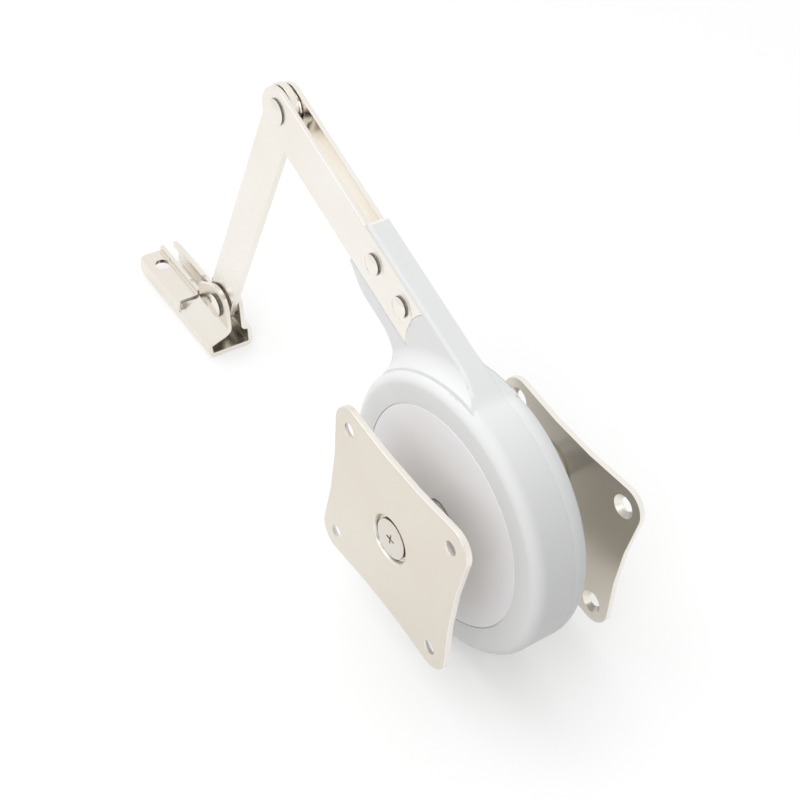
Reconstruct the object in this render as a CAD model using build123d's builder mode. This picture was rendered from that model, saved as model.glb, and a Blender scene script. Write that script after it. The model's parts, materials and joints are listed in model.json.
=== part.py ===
from build123d import *
import math
import os

os.makedirs("parts", exist_ok=True)

# Spring-loaded lid stay. Millimetres, +Z up. The origin is the centre of the
# front mounting plate's outer face, on the shaft axis. The shaft runs along +Y,
# and the arm, the link and the lid bracket reach towards -X. The drum's rim and
# the lid bracket's base stand on one plane, drum_radius below the shaft.

# ---- Driving dimensions ------------------------------------------------------

# Stations along the shaft
plate_span = 72.4            # outer face to outer face of the mounting plates
arm_mid_y = 32.9             # front plate's outer face to the arm's middle plane
drum_front_depth = 12.0      # arm's middle plane to the drum's front face
drum_rear_depth = 11.7       # arm's middle plane to the drum's rear face

# Mounting plates
plate_thickness = 2.5
plate_hole_x = 58.8          # hole spacing along X
plate_hole_z = 53.9          # hole spacing along Z
plate_hole_radius = 2.75
countersink_radius = 4.6
lobe_radius = 8.5
side_sag = 2.0               # how far each plate's side curves in
dish_radius = 9.5
dish_depth = 2.3
dish_draft = 20.0            # degrees
dish_wall = 1.6              # boss behind the dish, beyond its rim
plate_edge_round = 0.5
screw_hole_gap = 0.2         # plate hole around the shaft screw
rear_plate_shift_x = 8.1     # centre of the rear hole pattern from the shaft
rear_plate_shift_z = -11.3

# Shaft line
shaft_radius = 4.5
collar_radius = 6.5
thread_radius = 3.0
thread_length = 14.0
thread_run_out = 1.0         # tapped hole beyond the screw's end
screw_head_radius = 7.0
screw_head_height = 1.9
screw_head_edge = 0.5
driver_slot_length = 6.4
driver_slot_width = 1.1
driver_slot_depth = 1.2
hub_radius = 13.0
hub_width = 12.0
hub_notch_width = 2.4
hub_notch_depth = 3.0
bush_radius = 9.0
bush_length = 4.2
bush_lip = 1.0               # wall left outside each bush
lip_gap = 0.35               # radial, round the collar where it leaves the drum

# Drum
drum_radius = 53.7
drum_wall = 3.0
front_edge_round = 4.6
rear_edge_round = 5.6
front_rim = 11.7             # moulded ring outside the cap
cap_step = 1.5
cap_ledge = 2.7
cap_edge = 0.35
boss_radius = 12.5
lip_width = 1.6
lip_height = 2.2
cover_screw_inset = 9.2      # drum's rim to the cover screws
cover_screw_boss = 3.7
cover_screw_count = 4
cover_screw_start = 20.0     # degrees from +X
cover_screw_radius = 1.5
cover_screw_head = 3.0
cover_screw_length = 10.0
cover_screw_run_out = 1.0    # hole beyond the screw's end
boss_rib = 3.0
rib_root = 0.5               # how far each rib runs into the wall and the boss
pin_seat_depth = 1.2

# Mainspring
spring_strip = 1.5
spring_width = 11.0
spring_half_turns = 10
spring_eye_radius = 3.5
spring_hub_gap = 1.0         # hub to the innermost turn
spring_boss_gap = 0.55       # spring's outer eye to the cover screws' bosses
anchor_pin_radius = 2.0

# Arm
arm_offset = 40.3            # arm's centre line above the drum's centre
elbow_reach = 149.6          # along the arm, drum centre to elbow rivet
elbow_lift = 0.9             # elbow rivet above the arm's centre line
arm_width = 19.5
arm_plate_thickness = 2.0
arm_gap = 4.4                # between the two arm plates
arm_heel_inset = 1.7         # drum's rim to the plates' lower tips, along the arm
heel_radius = 18.0           # hollow at the plates' lower end
heel_to_rivet = 9.9          # plates' lower tips to the lower rivet
rivet_spacing = 18.5
arm_rivet_radius = 2.5
arm_rivet_head = 4.5
arm_rivet_dome = 1.6
rivet_dimple_radius = 6.8
rivet_dimple_depth = 0.35
elbow_rivet_radius = 3.0
elbow_rivet_head = 5.4
elbow_rivet_height = 1.9
elbow_rivet_dome = 1.5
elbow_boss_radius = 7.0      # half-sheared boss in each arm plate, which spaces the link

# Neck of the drum housing
neck_tip_margin = 10.0       # upper rivet to the neck's end
neck_tip_round = 1.6
neck_top_rim = 2.15          # plastic above the arm plates
neck_tip_rim = 1.05          # plastic below the arm plates, at the tip
neck_belly = 6.05            # plastic below the arm plates, at the belly
neck_cove_reach = 6.6        # how far the drum's cheeks run out along the neck
neck_cove_front = 9.4        # cheek height at the rim, from the arm's middle plane
neck_cove_rear = 9.2
neck_bend = 16.0             # where the underside turns into the belly
neck_belly_lead = 4.0        # belly's start, beyond the lower rivet
neck_shoulder_lead = 35.0    # end of the neck's straight top, before the lower rivet
flare_angle = 16.9           # degrees from the arm's direction, belly's foot on the drum
flare_sink = 0.1             # belly's foot below the drum's rim
crown_angle = 76.0           # degrees from the arm's direction, where the top runs into the drum
crown_sink = 0.4

# Link bar
link_length = 128.6
link_lean = 17.47            # degrees from upright, elbow towards +X
link_width = 17.2
link_hole_offset = 1.5       # link's holes beside its centre line, towards +X
link_thickness = 3.0

# Lid bracket, one folded sheet
sheet = 1.8
bracket_back_reach = 50.5    # pivot to the free end, along -X
bracket_nose_reach = 14.0    # pivot to the open end, along +X
bracket_front_reach = 14.0   # arm's middle plane to the front wall's outer face
bracket_rear_reach = 7.0     # arm's middle plane to the rear wall's outer face
bracket_height = 9.5
pivot_height = 16.0          # bracket base to the link's pivot
ear_radius = 9.2
ear_gap = 4.8
ear_back_slope = 32.0        # degrees
ear_front_slope = 14.0       # degrees from upright
ear_bend = 2.2               # centre-line radius of the bend under the front ear
fold_bend = 1.3              # centre-line radius of the other folds
upstand = 2.2                # low upstands beside the slot, above the shoulders
relief_reach = 15.0          # pivot to the relief slot, along -X
relief_width = 1.6
access_hole_radius = 3.35
fixing_hole_radius = 2.3
fixing_reach = 41.0          # pivot to the fixing hole, along -X
fixing_offset = 8.0          # arm's middle plane to the fixing hole, towards -Y
base_setback = 6.2           # base cut back from the free end
bracket_rivet_radius = 3.0
bracket_rivet_head = 5.2
bracket_rivet_height = 1.5
bracket_rivet_dome = 0.4
washer_radius = 6.2

# Clearances
seam_gap = 0.12              # between fixed pieces that sit side by side
hole_gap = 0.05              # between a pin and the piece that it is fixed in
running_gap = 0.06           # radial, between a pin and the piece that turns on it
face_gap = 0.2               # between faces that slide past each other
tiny = 0.01
beyond = 1.0                 # how far a cutting shape runs past what it cuts

# ---- Places worked out from the driving dimensions ---------------------------

front_y = arm_mid_y - drum_front_depth
rear_y = arm_mid_y + drum_rear_depth
arm_half = arm_gap / 2 + arm_plate_thickness
parting_y = arm_mid_y + arm_half   # the neck's rear face lies on the parting line

cap_radius = drum_radius - front_rim
cover_screw_circle = drum_radius - cover_screw_inset
arm_heel_reach = drum_radius - arm_heel_inset
lower_rivet_reach = arm_heel_reach + heel_to_rivet
upper_rivet_reach = lower_rivet_reach + rivet_spacing
neck_tip_reach = upper_rivet_reach + neck_tip_margin

# The drum's rim and the bracket's base stand on one plane, so the link carries
# the elbow at a height that sets how far the arm rises from -X.
lean = math.radians(link_lean)
floor_z = -drum_radius
pivot_z = floor_z + pivot_height
elbow_z = pivot_z + link_length * math.cos(lean)
elbow_height = arm_offset + elbow_lift
rise = math.asin(elbow_z / math.hypot(elbow_reach, elbow_height)) - math.atan2(elbow_height, elbow_reach)
elbow_x = -elbow_reach * math.cos(rise) + elbow_height * math.sin(rise)
pivot_x = elbow_x - link_length * math.sin(lean)


def across(y):
    """Sketch plane square to the shaft: local x is X, local y is Z, facing -Y."""
    return Plane(origin=(0, y, 0), x_dir=(1, 0, 0), z_dir=(0, -1, 0))


def along_arm(y):
    """Sketch plane square to the shaft, turned to the arm.

    Local x runs from the drum's centre along the arm, local y is up from it,
    and the plane faces +Y.
    """
    direction = (-math.cos(rise), 0, math.sin(rise))
    return Plane(origin=(0, y, 0), x_dir=direction, z_dir=(0, 1, 0))


def along_link(y):
    """Sketch plane on the link's pivot at the bracket, local x up the link."""
    direction = (math.sin(lean), 0, math.cos(lean))
    return Plane(origin=(pivot_x, y, pivot_z), x_dir=direction, z_dir=(0, 1, 0))


# ---- Shared shapes -----------------------------------------------------------

def turn(points, mode=Mode.ADD):
    """Turn a closed outline of (y, radius) points about the shaft axis."""
    with BuildSketch(Plane.YZ) as outline:
        with BuildLine():
            Polyline(*points, close=True)
        make_face()
    revolve(outline.sketch, axis=Axis.Y, mode=mode)


def shaft_hole(x, z, radius, start_y, end_y, mode=Mode.SUBTRACT):
    """A round hole or pin parallel to the shaft."""
    with BuildSketch(across(start_y)) as circle:
        with Locations((x, z)):
            Circle(radius)
    extrude(circle.sketch, amount=start_y - end_y, mode=mode)


def at_arm(reach, height):
    """Row X and Z of a point given along the arm and up from the drum's centre."""
    x = -reach * math.cos(rise) + height * math.sin(rise)
    z = reach * math.sin(rise) + height * math.cos(rise)
    return (x, z)


# ---- Mounting plates ---------------------------------------------------------

def side_arc(half, other_half):
    """Hollow side that joins two lobes: its mid-height and its tangent point."""
    arc = (half**2 + side_sag**2) / (2 * side_sag) - lobe_radius
    reach = arc + lobe_radius
    middle = other_half + lobe_radius - side_sag
    touch_along = half - lobe_radius * half / reach
    touch_out = other_half + lobe_radius * (middle + arc - other_half) / reach
    return (middle, touch_along, touch_out)


def lobed_outline():
    """Four-lobed plate outline, centred on its hole pattern."""
    half_x = plate_hole_x / 2
    half_z = plate_hole_z / 2
    end, end_x, end_z = side_arc(half_x, half_z)
    side, side_z, side_x = side_arc(half_z, half_x)
    lobe = lobe_radius / math.sqrt(2)
    for sx, sz in ((1, 1), (1, -1), (-1, -1), (-1, 1)):
        tip = (sx * (half_x + lobe), sz * (half_z + lobe))
        ThreePointArc((sx * end_x, sz * end_z), tip, (sx * side_x, sz * side_z))
    for sz in (1, -1):
        ThreePointArc((end_x, sz * end_z), (0, sz * end), (-end_x, sz * end_z))
    for sx in (1, -1):
        ThreePointArc((sx * side_x, side_z), (sx * side, 0), (sx * side_x, -side_z))


def mounting_plate(outer_y, inward, shift_x, shift_z):
    """Lobed plate with a dished centre. inward is +1 or -1 along Y."""
    inner_y = outer_y + inward * plate_thickness
    slope = math.tan(math.radians(dish_draft))
    floor_y = outer_y + inward * dish_depth
    boss_y = inner_y + inward * dish_depth
    boss_root = dish_radius + dish_wall
    boss_end = boss_root - dish_depth * slope
    dish_floor = dish_radius - dish_depth * slope
    outer_face = Plane(origin=(shift_x, outer_y, shift_z), x_dir=(1, 0, 0), z_dir=(0, -inward, 0))
    inner_face = Plane(origin=(shift_x, inner_y, shift_z), x_dir=(1, 0, 0), z_dir=(0, inward, 0))
    with BuildPart() as plate:
        with BuildSketch(outer_face):
            with BuildLine():
                lobed_outline()
            make_face()
        extrude(amount=-plate_thickness)
        outer = plate.faces().sort_by(Axis((0, outer_y, 0), (0, inward, 0)))[0]
        fillet(outer.edges(), radius=plate_edge_round)
        turn([(inner_y, 0), (inner_y, boss_root), (boss_y, boss_end), (boss_y, 0)])
        turn([(outer_y, 0), (outer_y, dish_radius), (floor_y, dish_floor), (floor_y, 0)], Mode.SUBTRACT)
        shaft_hole(0, 0, thread_radius + screw_hole_gap, outer_y, boss_y)
        with Locations(inner_face):
            with GridLocations(plate_hole_x, plate_hole_z, 2, 2):
                CounterSinkHole(plate_hole_radius, countersink_radius, plate_thickness, 90)
    return plate


front_plate = mounting_plate(0, 1, 0, 0)
front_plate.part.label = "front_mounting_plate"
export_step(front_plate.part, "parts/front_mounting_plate.step")

rear_plate = mounting_plate(plate_span, -1, rear_plate_shift_x, rear_plate_shift_z)
rear_plate.part.label = "rear_mounting_plate"
export_step(rear_plate.part, "parts/rear_mounting_plate.step")


# ---- Shaft line --------------------------------------------------------------

shaft_start = plate_thickness + dish_depth
shaft_end = plate_span - shaft_start
hub_front_y = arm_mid_y - hub_width / 2
hub_rear_y = arm_mid_y + hub_width / 2


def plate_screw(outer_y, inward):
    """Pan head in the plate's dish, cross recess, plain stem for the thread."""
    seat_y = outer_y + inward * dish_depth
    head_y = seat_y - inward * screw_head_height
    stem_y = seat_y + inward * (plate_thickness + thread_length)
    edge_y = head_y + inward * screw_head_edge
    rim = screw_head_radius - screw_head_edge
    face = Plane(origin=(0, head_y, 0), x_dir=(1, 0, 0), z_dir=(0, -inward, 0))
    with BuildPart() as screw:
        turn([
            (head_y, 0), (head_y, rim), (edge_y, screw_head_radius),
            (seat_y, screw_head_radius), (seat_y, thread_radius),
            (stem_y, thread_radius), (stem_y, 0),
        ])
        with BuildSketch(face):
            Rectangle(driver_slot_length, driver_slot_width)
            Rectangle(driver_slot_width, driver_slot_length)
        extrude(amount=-driver_slot_depth, mode=Mode.SUBTRACT)
    return screw


front_screw = plate_screw(0, 1)
front_screw.part.label = "front_plate_screw"
export_step(front_screw.part, "parts/front_plate_screw.step")

rear_screw = plate_screw(plate_span, -1)
rear_screw.part.label = "rear_plate_screw"
export_step(rear_screw.part, "parts/rear_plate_screw.step")

with BuildPart() as shaft:
    shaft_hole(0, 0, shaft_radius, shaft_start, shaft_end, Mode.ADD)
    tapped = thread_length + thread_run_out
    shaft_hole(0, 0, thread_radius + hole_gap, shaft_start, shaft_start + tapped)
    shaft_hole(0, 0, thread_radius + hole_gap, shaft_end - tapped, shaft_end)
shaft.part.label = "shaft"
export_step(shaft.part, "parts/shaft.step")


def spacer(start_y, end_y):
    """Tube on the shaft between a plate's boss and the hub."""
    with BuildPart() as tube:
        shaft_hole(0, 0, collar_radius, start_y, end_y, Mode.ADD)
        shaft_hole(0, 0, shaft_radius + hole_gap, start_y, end_y)
    return tube


front_collar = spacer(shaft_start, hub_front_y)
front_collar.part.label = "front_shaft_collar"
export_step(front_collar.part, "parts/front_shaft_collar.step")

rear_collar = spacer(hub_rear_y, shaft_end)
rear_collar.part.label = "rear_shaft_collar"
export_step(rear_collar.part, "parts/rear_shaft_collar.step")

with BuildPart() as spring_hub:
    shaft_hole(0, 0, hub_radius, hub_front_y, hub_rear_y, Mode.ADD)
    shaft_hole(0, 0, shaft_radius + hole_gap, hub_front_y, hub_rear_y)
    with BuildSketch(across(hub_front_y)):
        with Locations((hub_radius, 0)):
            Rectangle(2 * hub_notch_depth, hub_notch_width)
    extrude(amount=-hub_width, mode=Mode.SUBTRACT)
spring_hub.part.label = "spring_hub"
export_step(spring_hub.part, "parts/spring_hub.step")


def bush(start_y):
    """Plain bearing ring that turns on a shaft collar."""
    with BuildPart() as ring:
        shaft_hole(0, 0, bush_radius, start_y, start_y + bush_length, Mode.ADD)
        shaft_hole(0, 0, collar_radius + running_gap, start_y, start_y + bush_length)
    return ring


front_bush = bush(front_y + bush_lip)
front_bush.part.label = "front_bearing_bush"
export_step(front_bush.part, "parts/front_bearing_bush.step")

rear_bush = bush(rear_y - bush_lip - bush_length)
rear_bush.part.label = "rear_bearing_bush"
export_step(rear_bush.part, "parts/rear_bearing_bush.step")


# ---- Arm plates --------------------------------------------------------------

def arm_outline(grow):
    """Arm plate outline: round at the elbow, hollow at the heel."""
    half = arm_width / 2 + grow
    heel = arm_heel_reach - grow
    hollow = heel + heel_radius - math.sqrt(heel_radius**2 - half**2)
    low = arm_offset - half
    high = arm_offset + half
    Line((heel, low), (elbow_reach, low))
    ThreePointArc((elbow_reach, low), (elbow_reach + half, arm_offset), (elbow_reach, high))
    Line((elbow_reach, high), (heel, high))
    ThreePointArc((heel, high), (hollow, arm_offset), (heel, low))


def arm_plate(start_y, outer_y):
    """One of the arm's two flat bars, dimpled round the neck rivets, with a boss beside the link."""
    facing = 1 if outer_y > start_y else -1
    boss_height = (arm_gap - link_thickness) / 2 - face_gap
    dimple_y = outer_y if facing < 0 else outer_y - rivet_dimple_depth
    with BuildPart() as bar:
        with BuildSketch(along_arm(start_y)):
            with BuildLine():
                arm_outline(0)
            make_face()
            with Locations((elbow_reach, elbow_height)):
                Circle(elbow_rivet_radius + hole_gap, mode=Mode.SUBTRACT)
            with Locations((lower_rivet_reach, arm_offset), (upper_rivet_reach, arm_offset)):
                Circle(arm_rivet_radius + hole_gap, mode=Mode.SUBTRACT)
        extrude(amount=facing * arm_plate_thickness)
        with BuildSketch(along_arm(start_y)):
            with Locations((elbow_reach, elbow_height)):
                Circle(elbow_boss_radius)
                Circle(elbow_rivet_radius + hole_gap, mode=Mode.SUBTRACT)
        extrude(amount=-facing * boss_height)
        with BuildSketch(along_arm(dimple_y)):
            with Locations((lower_rivet_reach, arm_offset), (upper_rivet_reach, arm_offset)):
                Circle(rivet_dimple_radius)
        extrude(amount=rivet_dimple_depth, mode=Mode.SUBTRACT)
    return bar


front_arm = arm_plate(arm_mid_y - arm_gap / 2, arm_mid_y - arm_half)
front_arm.part.label = "front_arm_plate"
export_step(front_arm.part, "parts/front_arm_plate.step")

rear_arm = arm_plate(arm_mid_y + arm_gap / 2, arm_mid_y + arm_half)
rear_arm.part.label = "rear_arm_plate"
export_step(rear_arm.part, "parts/rear_arm_plate.step")


# ---- Drum --------------------------------------------------------------------

neck_top = arm_offset + arm_width / 2 + neck_top_rim
neck_tip_low = arm_offset - arm_width / 2 - neck_tip_rim
neck_belly_low = arm_offset - arm_width / 2 - neck_belly


def on_drum(angle, sink):
    """Point below the drum's rim, at an angle up from the arm's direction."""
    radius = drum_radius - sink
    turned = math.radians(angle)
    return (radius * math.cos(turned), radius * math.sin(turned))


def neck_outline():
    """Side view of the neck, from the drum's centre to the tip round the arm."""
    belly_end = (upper_rivet_reach, neck_belly_low)
    belly_start = (lower_rivet_reach + neck_belly_lead, neck_belly_low)
    shoulder = (lower_rivet_reach - neck_shoulder_lead, neck_top)
    flare_end = on_drum(flare_angle, flare_sink)
    crown_end = on_drum(crown_angle, crown_sink)
    Line((neck_tip_reach, neck_top), (neck_tip_reach, neck_tip_low))
    FilletPolyline((neck_tip_reach, neck_tip_low), belly_end, belly_start, radius=neck_bend)
    TangentArc(belly_start, flare_end, tangent=(-1, 0))
    Line(flare_end, (0, 0))
    Line((0, 0), crown_end)
    TangentArc(shoulder, crown_end, tangent=(-1, 0))
    Line(shoulder, (neck_tip_reach, neck_top))


def neck_block(start_y, end_y, mode):
    """The neck's side view carried across from one station to another."""
    with BuildSketch(along_arm(start_y)) as side_view:
        with BuildLine():
            neck_outline()
        make_face()
    extrude(side_view.sketch, amount=end_y - start_y, mode=mode)


def cheek_profile(side, height):
    """Hollow run-out of the drum's cheek on to the neck, as (y, radius)."""
    root_y = arm_mid_y + side * arm_half
    rim_y = arm_mid_y + side * height
    inside = drum_radius - drum_wall
    with BuildSketch(Plane.YZ) as run_out:
        with BuildLine():
            TangentArc((root_y, drum_radius + neck_cove_reach), (rim_y, drum_radius), tangent=(0, -1))
            Line((rim_y, drum_radius), (rim_y, inside))
            Line((rim_y, inside), (root_y, inside))
            Line((root_y, inside), (root_y, drum_radius + neck_cove_reach))
        make_face()
    revolve(run_out.sketch, axis=Axis.Y)


cavity_radius = drum_radius - drum_wall
ledge_radius = cap_radius - cap_ledge
cavity_front_y = front_y + drum_wall
cavity_rear_y = rear_y - drum_wall
boss_reach = (cavity_radius + cover_screw_circle) / 2
rib_length = cavity_radius - cover_screw_circle + 2 * rib_root

with BuildPart() as front_cheek:
    cheek_profile(-1, neck_cove_front)
    neck_block(front_y, arm_mid_y, Mode.INTERSECT)

with BuildPart() as rear_cheek:
    cheek_profile(1, neck_cove_rear)
    neck_block(arm_mid_y, rear_y, Mode.INTERSECT)

with BuildPart() as drum_housing:
    neck_block(arm_mid_y - arm_half, arm_mid_y + arm_half, Mode.ADD)
    fillet(drum_housing.edges().filter_by(Axis.Y).group_by(Axis.X)[0], radius=neck_tip_round)
    add(front_cheek.part)
    turn([(front_y, 0), (front_y, cavity_radius), (parting_y, cavity_radius), (parting_y, 0)], Mode.SUBTRACT)
    with BuildSketch(Plane.YZ) as ring:
        with BuildLine():
            Polyline(
                (front_y, cap_radius + seam_gap), (front_y, drum_radius),
                (parting_y - cap_edge, drum_radius), (parting_y, drum_radius - cap_edge),
                (parting_y, cavity_radius), (cavity_front_y, cavity_radius),
                (cavity_front_y, ledge_radius), (front_y + cap_step, ledge_radius),
                (front_y + cap_step, cap_radius + seam_gap), close=True,
            )
        make_face()
        fillet(ring.vertices().group_by(Axis.Y)[-1].sort_by(Axis.X)[0], radius=front_edge_round)
    revolve(axis=Axis.Y)
    with BuildSketch(across(cavity_front_y - tiny)):
        with PolarLocations(boss_reach, cover_screw_count, start_angle=cover_screw_start):
            Rectangle(rib_length, boss_rib)
        with PolarLocations(cover_screw_circle, cover_screw_count, start_angle=cover_screw_start):
            Circle(cover_screw_boss)
    extrude(amount=cavity_front_y - tiny - parting_y)
    with BuildSketch(across(parting_y)):
        with PolarLocations(cover_screw_circle, cover_screw_count, start_angle=cover_screw_start):
            Circle(cover_screw_radius + hole_gap)
    extrude(amount=cover_screw_length, mode=Mode.SUBTRACT)
    for pocket_start in (arm_mid_y - arm_half, arm_mid_y + arm_gap / 2):
        with BuildSketch(along_arm(pocket_start)):
            with BuildLine():
                arm_outline(seam_gap)
            make_face()
        extrude(amount=arm_plate_thickness, mode=Mode.SUBTRACT)
    with BuildSketch(along_arm(arm_mid_y - arm_half)):
        with Locations((lower_rivet_reach, arm_offset), (upper_rivet_reach, arm_offset)):
            Circle(arm_rivet_radius + hole_gap)
    extrude(amount=2 * arm_half, mode=Mode.SUBTRACT)
drum_housing.part.label = "drum_housing"
export_step(drum_housing.part, "parts/drum_housing.step")

anchor_reach = cover_screw_circle - cover_screw_boss - spring_boss_gap - spring_eye_radius
anchor_height = spring_eye_radius - spring_strip / 2

with BuildPart() as front_cap:
    boss_y = front_y + bush_lip + bush_length
    lip_radius = collar_radius + lip_gap
    turn([
        (front_y, lip_radius), (front_y, cap_radius - cap_edge), (front_y + cap_edge, cap_radius),
        (front_y + cap_step, cap_radius), (front_y + cap_step, ledge_radius - seam_gap),
        (cavity_front_y, ledge_radius - seam_gap), (cavity_front_y, boss_radius),
        (boss_y, boss_radius), (boss_y, bush_radius + hole_gap),
        (front_y + bush_lip, bush_radius + hole_gap), (front_y + bush_lip, lip_radius),
    ])
    shaft_hole(anchor_reach, anchor_height, anchor_pin_radius + hole_gap,
               cavity_front_y - pin_seat_depth, cavity_front_y)
front_cap.part.label = "drum_front_cap"
export_step(front_cap.part, "parts/drum_front_cap.step")

with BuildPart() as rear_cover:
    boss_y = rear_y - bush_lip - bush_length
    spigot_radius = cavity_radius - seam_gap
    spigot_inner = spigot_radius - lip_width
    with BuildSketch(Plane.YZ) as shell:
        with BuildLine():
            Polyline(
                (parting_y, drum_radius - cap_edge), (parting_y + cap_edge, drum_radius),
                (rear_y, drum_radius), (rear_y, lip_radius), (rear_y - bush_lip, lip_radius),
                (rear_y - bush_lip, bush_radius + hole_gap), (boss_y, bush_radius + hole_gap),
                (boss_y, boss_radius), (cavity_rear_y, boss_radius), (cavity_rear_y, spigot_inner),
                (parting_y - lip_height, spigot_inner), (parting_y - lip_height, spigot_radius),
                (parting_y, spigot_radius), close=True,
            )
        make_face()
        fillet(shell.vertices().group_by(Axis.Y)[-1].sort_by(Axis.X)[-1], radius=rear_edge_round)
    revolve(axis=Axis.Y)
    with BuildSketch(across(cavity_rear_y + tiny)):
        with PolarLocations(cover_screw_circle, cover_screw_count, start_angle=cover_screw_start):
            Circle(cover_screw_boss)
    extrude(amount=cavity_rear_y + tiny - parting_y)
    with BuildSketch(across(parting_y)):
        with PolarLocations(boss_reach, cover_screw_count, start_angle=cover_screw_start):
            Rectangle(rib_length, boss_rib + 2 * seam_gap)
        with PolarLocations(cover_screw_circle, cover_screw_count, start_angle=cover_screw_start):
            Circle(cover_screw_boss + seam_gap)
    extrude(amount=lip_height, mode=Mode.SUBTRACT)
    add(rear_cheek.part)
    shaft_hole(anchor_reach, anchor_height, anchor_pin_radius + hole_gap,
               cavity_rear_y, cavity_rear_y + pin_seat_depth)
    rear_face = Plane(origin=(0, rear_y, 0), x_dir=(-1, 0, 0), z_dir=(0, 1, 0))
    with Locations(rear_face):
        with PolarLocations(cover_screw_circle, cover_screw_count, start_angle=180 - cover_screw_start):
            CounterSinkHole(cover_screw_radius + hole_gap, cover_screw_head, drum_rear_depth, 90)
rear_cover.part.label = "drum_rear_cover"
export_step(rear_cover.part, "parts/drum_rear_cover.step")

with BuildPart() as cover_screws:
    head_depth = cover_screw_head - cover_screw_radius
    screw_end = parting_y - cover_screw_length + cover_screw_run_out
    for place in PolarLocations(cover_screw_circle, cover_screw_count, start_angle=cover_screw_start):
        x, z = place.position.X, place.position.Y
        with BuildSketch(Plane(origin=(x, 0, z), x_dir=(0, 1, 0), z_dir=(1, 0, 0))):
            with BuildLine():
                Polyline(
                    (rear_y, 0), (rear_y, cover_screw_head - hole_gap),
                    (rear_y - head_depth, cover_screw_radius - hole_gap),
                    (screw_end, cover_screw_radius - hole_gap),
                    (screw_end, 0), close=True,
                )
            make_face()
        revolve(axis=Axis((x, 0, z), (0, 1, 0)))
cover_screws.part.label = "cover_screws"
export_step(cover_screws.part, "parts/cover_screws.step")


# ---- Mainspring --------------------------------------------------------------

spring_front_y = arm_mid_y - spring_width / 2
spring_start = hub_radius + spring_hub_gap + spring_strip / 2
spring_step = (anchor_reach - spring_start) / spring_half_turns

with BuildPart() as mainspring:
    with BuildSketch(across(spring_front_y)):
        with BuildLine():
            for turn_index in range(spring_half_turns):
                side = 1 if turn_index % 2 == 0 else -1
                start = side * (spring_start + turn_index * spring_step)
                end = -side * (spring_start + (turn_index + 1) * spring_step)
                centre = (start + end) / 2
                height = side * abs(start - end) / 2
                ThreePointArc((start, 0), (centre, height), (end, 0))
            offset(amount=spring_strip / 2, side=Side.BOTH)
        make_face()
        with Locations((anchor_reach, anchor_height)):
            Circle(spring_eye_radius)
            Circle(anchor_pin_radius + seam_gap, mode=Mode.SUBTRACT)
    extrude(amount=-spring_width)
mainspring.part.label = "mainspring"
export_step(mainspring.part, "parts/mainspring.step")

with BuildPart() as anchor_pin:
    pin_start = cavity_front_y - pin_seat_depth
    pin_end = cavity_rear_y + pin_seat_depth
    shaft_hole(anchor_reach, anchor_height, anchor_pin_radius, pin_start, pin_end, Mode.ADD)
anchor_pin.part.label = "spring_anchor_pin"
export_step(anchor_pin.part, "parts/spring_anchor_pin.step")


# ---- Rivets ------------------------------------------------------------------

def rivet(centre, half_grip, stem, head, height, dome):
    """Two-headed rivet across the middle plane; dome is the part of the height that is rounded."""
    x, z = centre
    face = half_grip + height
    shoulder = face - dome
    with BuildPart() as pin:
        with BuildSketch(Plane(origin=(x, arm_mid_y, z), x_dir=(0, 1, 0), z_dir=(1, 0, 0))) as half:
            with BuildLine():
                rise_to = (head**2 + dome**2) / (2 * dome)
                part_way = math.sqrt(rise_to**2 - head**2 / 4) - (rise_to - dome)
                Line((0, 0), (face, 0))
                ThreePointArc((face, 0), (shoulder + part_way, head / 2), (shoulder, head))
                Line((shoulder, head), (half_grip, head))
                Line((half_grip, head), (half_grip, stem))
                Line((half_grip, stem), (0, stem))
                Line((0, stem), (0, 0))
            make_face()
        revolve(axis=Axis((x, 0, z), (0, 1, 0)))
        mirror(about=across(arm_mid_y))
    return pin


dimple_grip = arm_half - rivet_dimple_depth
lower_rivet = rivet(at_arm(lower_rivet_reach, arm_offset), dimple_grip, arm_rivet_radius,
                    arm_rivet_head, arm_rivet_dome + rivet_dimple_depth, arm_rivet_dome)
lower_rivet.part.label = "lower_neck_rivet"
export_step(lower_rivet.part, "parts/lower_neck_rivet.step")

upper_rivet = rivet(at_arm(upper_rivet_reach, arm_offset), dimple_grip, arm_rivet_radius,
                    arm_rivet_head, arm_rivet_dome + rivet_dimple_depth, arm_rivet_dome)
upper_rivet.part.label = "upper_neck_rivet"
export_step(upper_rivet.part, "parts/upper_neck_rivet.step")

elbow_rivet = rivet((elbow_x, elbow_z), arm_half, elbow_rivet_radius,
                    elbow_rivet_head, elbow_rivet_height, elbow_rivet_dome)
elbow_rivet.part.label = "elbow_rivet"
export_step(elbow_rivet.part, "parts/elbow_rivet.step")

bracket_rivet = rivet((pivot_x, pivot_z), ear_gap / 2 + sheet, bracket_rivet_radius,
                      bracket_rivet_head, bracket_rivet_height, bracket_rivet_dome)
bracket_rivet.part.label = "bracket_rivet"
export_step(bracket_rivet.part, "parts/bracket_rivet.step")


# ---- Link bar ----------------------------------------------------------------

with BuildPart() as link_bar:
    with BuildSketch(along_link(arm_mid_y - link_thickness / 2)):
        with Locations((link_length / 2, -link_hole_offset)):
            SlotCenterToCenter(link_length, link_width)
        Circle(bracket_rivet_radius + running_gap, mode=Mode.SUBTRACT)
        with Locations((link_length, 0)):
            Circle(elbow_rivet_radius + running_gap, mode=Mode.SUBTRACT)
    extrude(amount=link_thickness)
link_bar.part.label = "link_bar"
export_step(link_bar.part, "parts/link_bar.step")


# ---- Pivot washers -----------------------------------------------------------

washer_face_gap = face_gap / 2
washer_thickness = (ear_gap - link_thickness) / 2 - 2 * washer_face_gap


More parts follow.
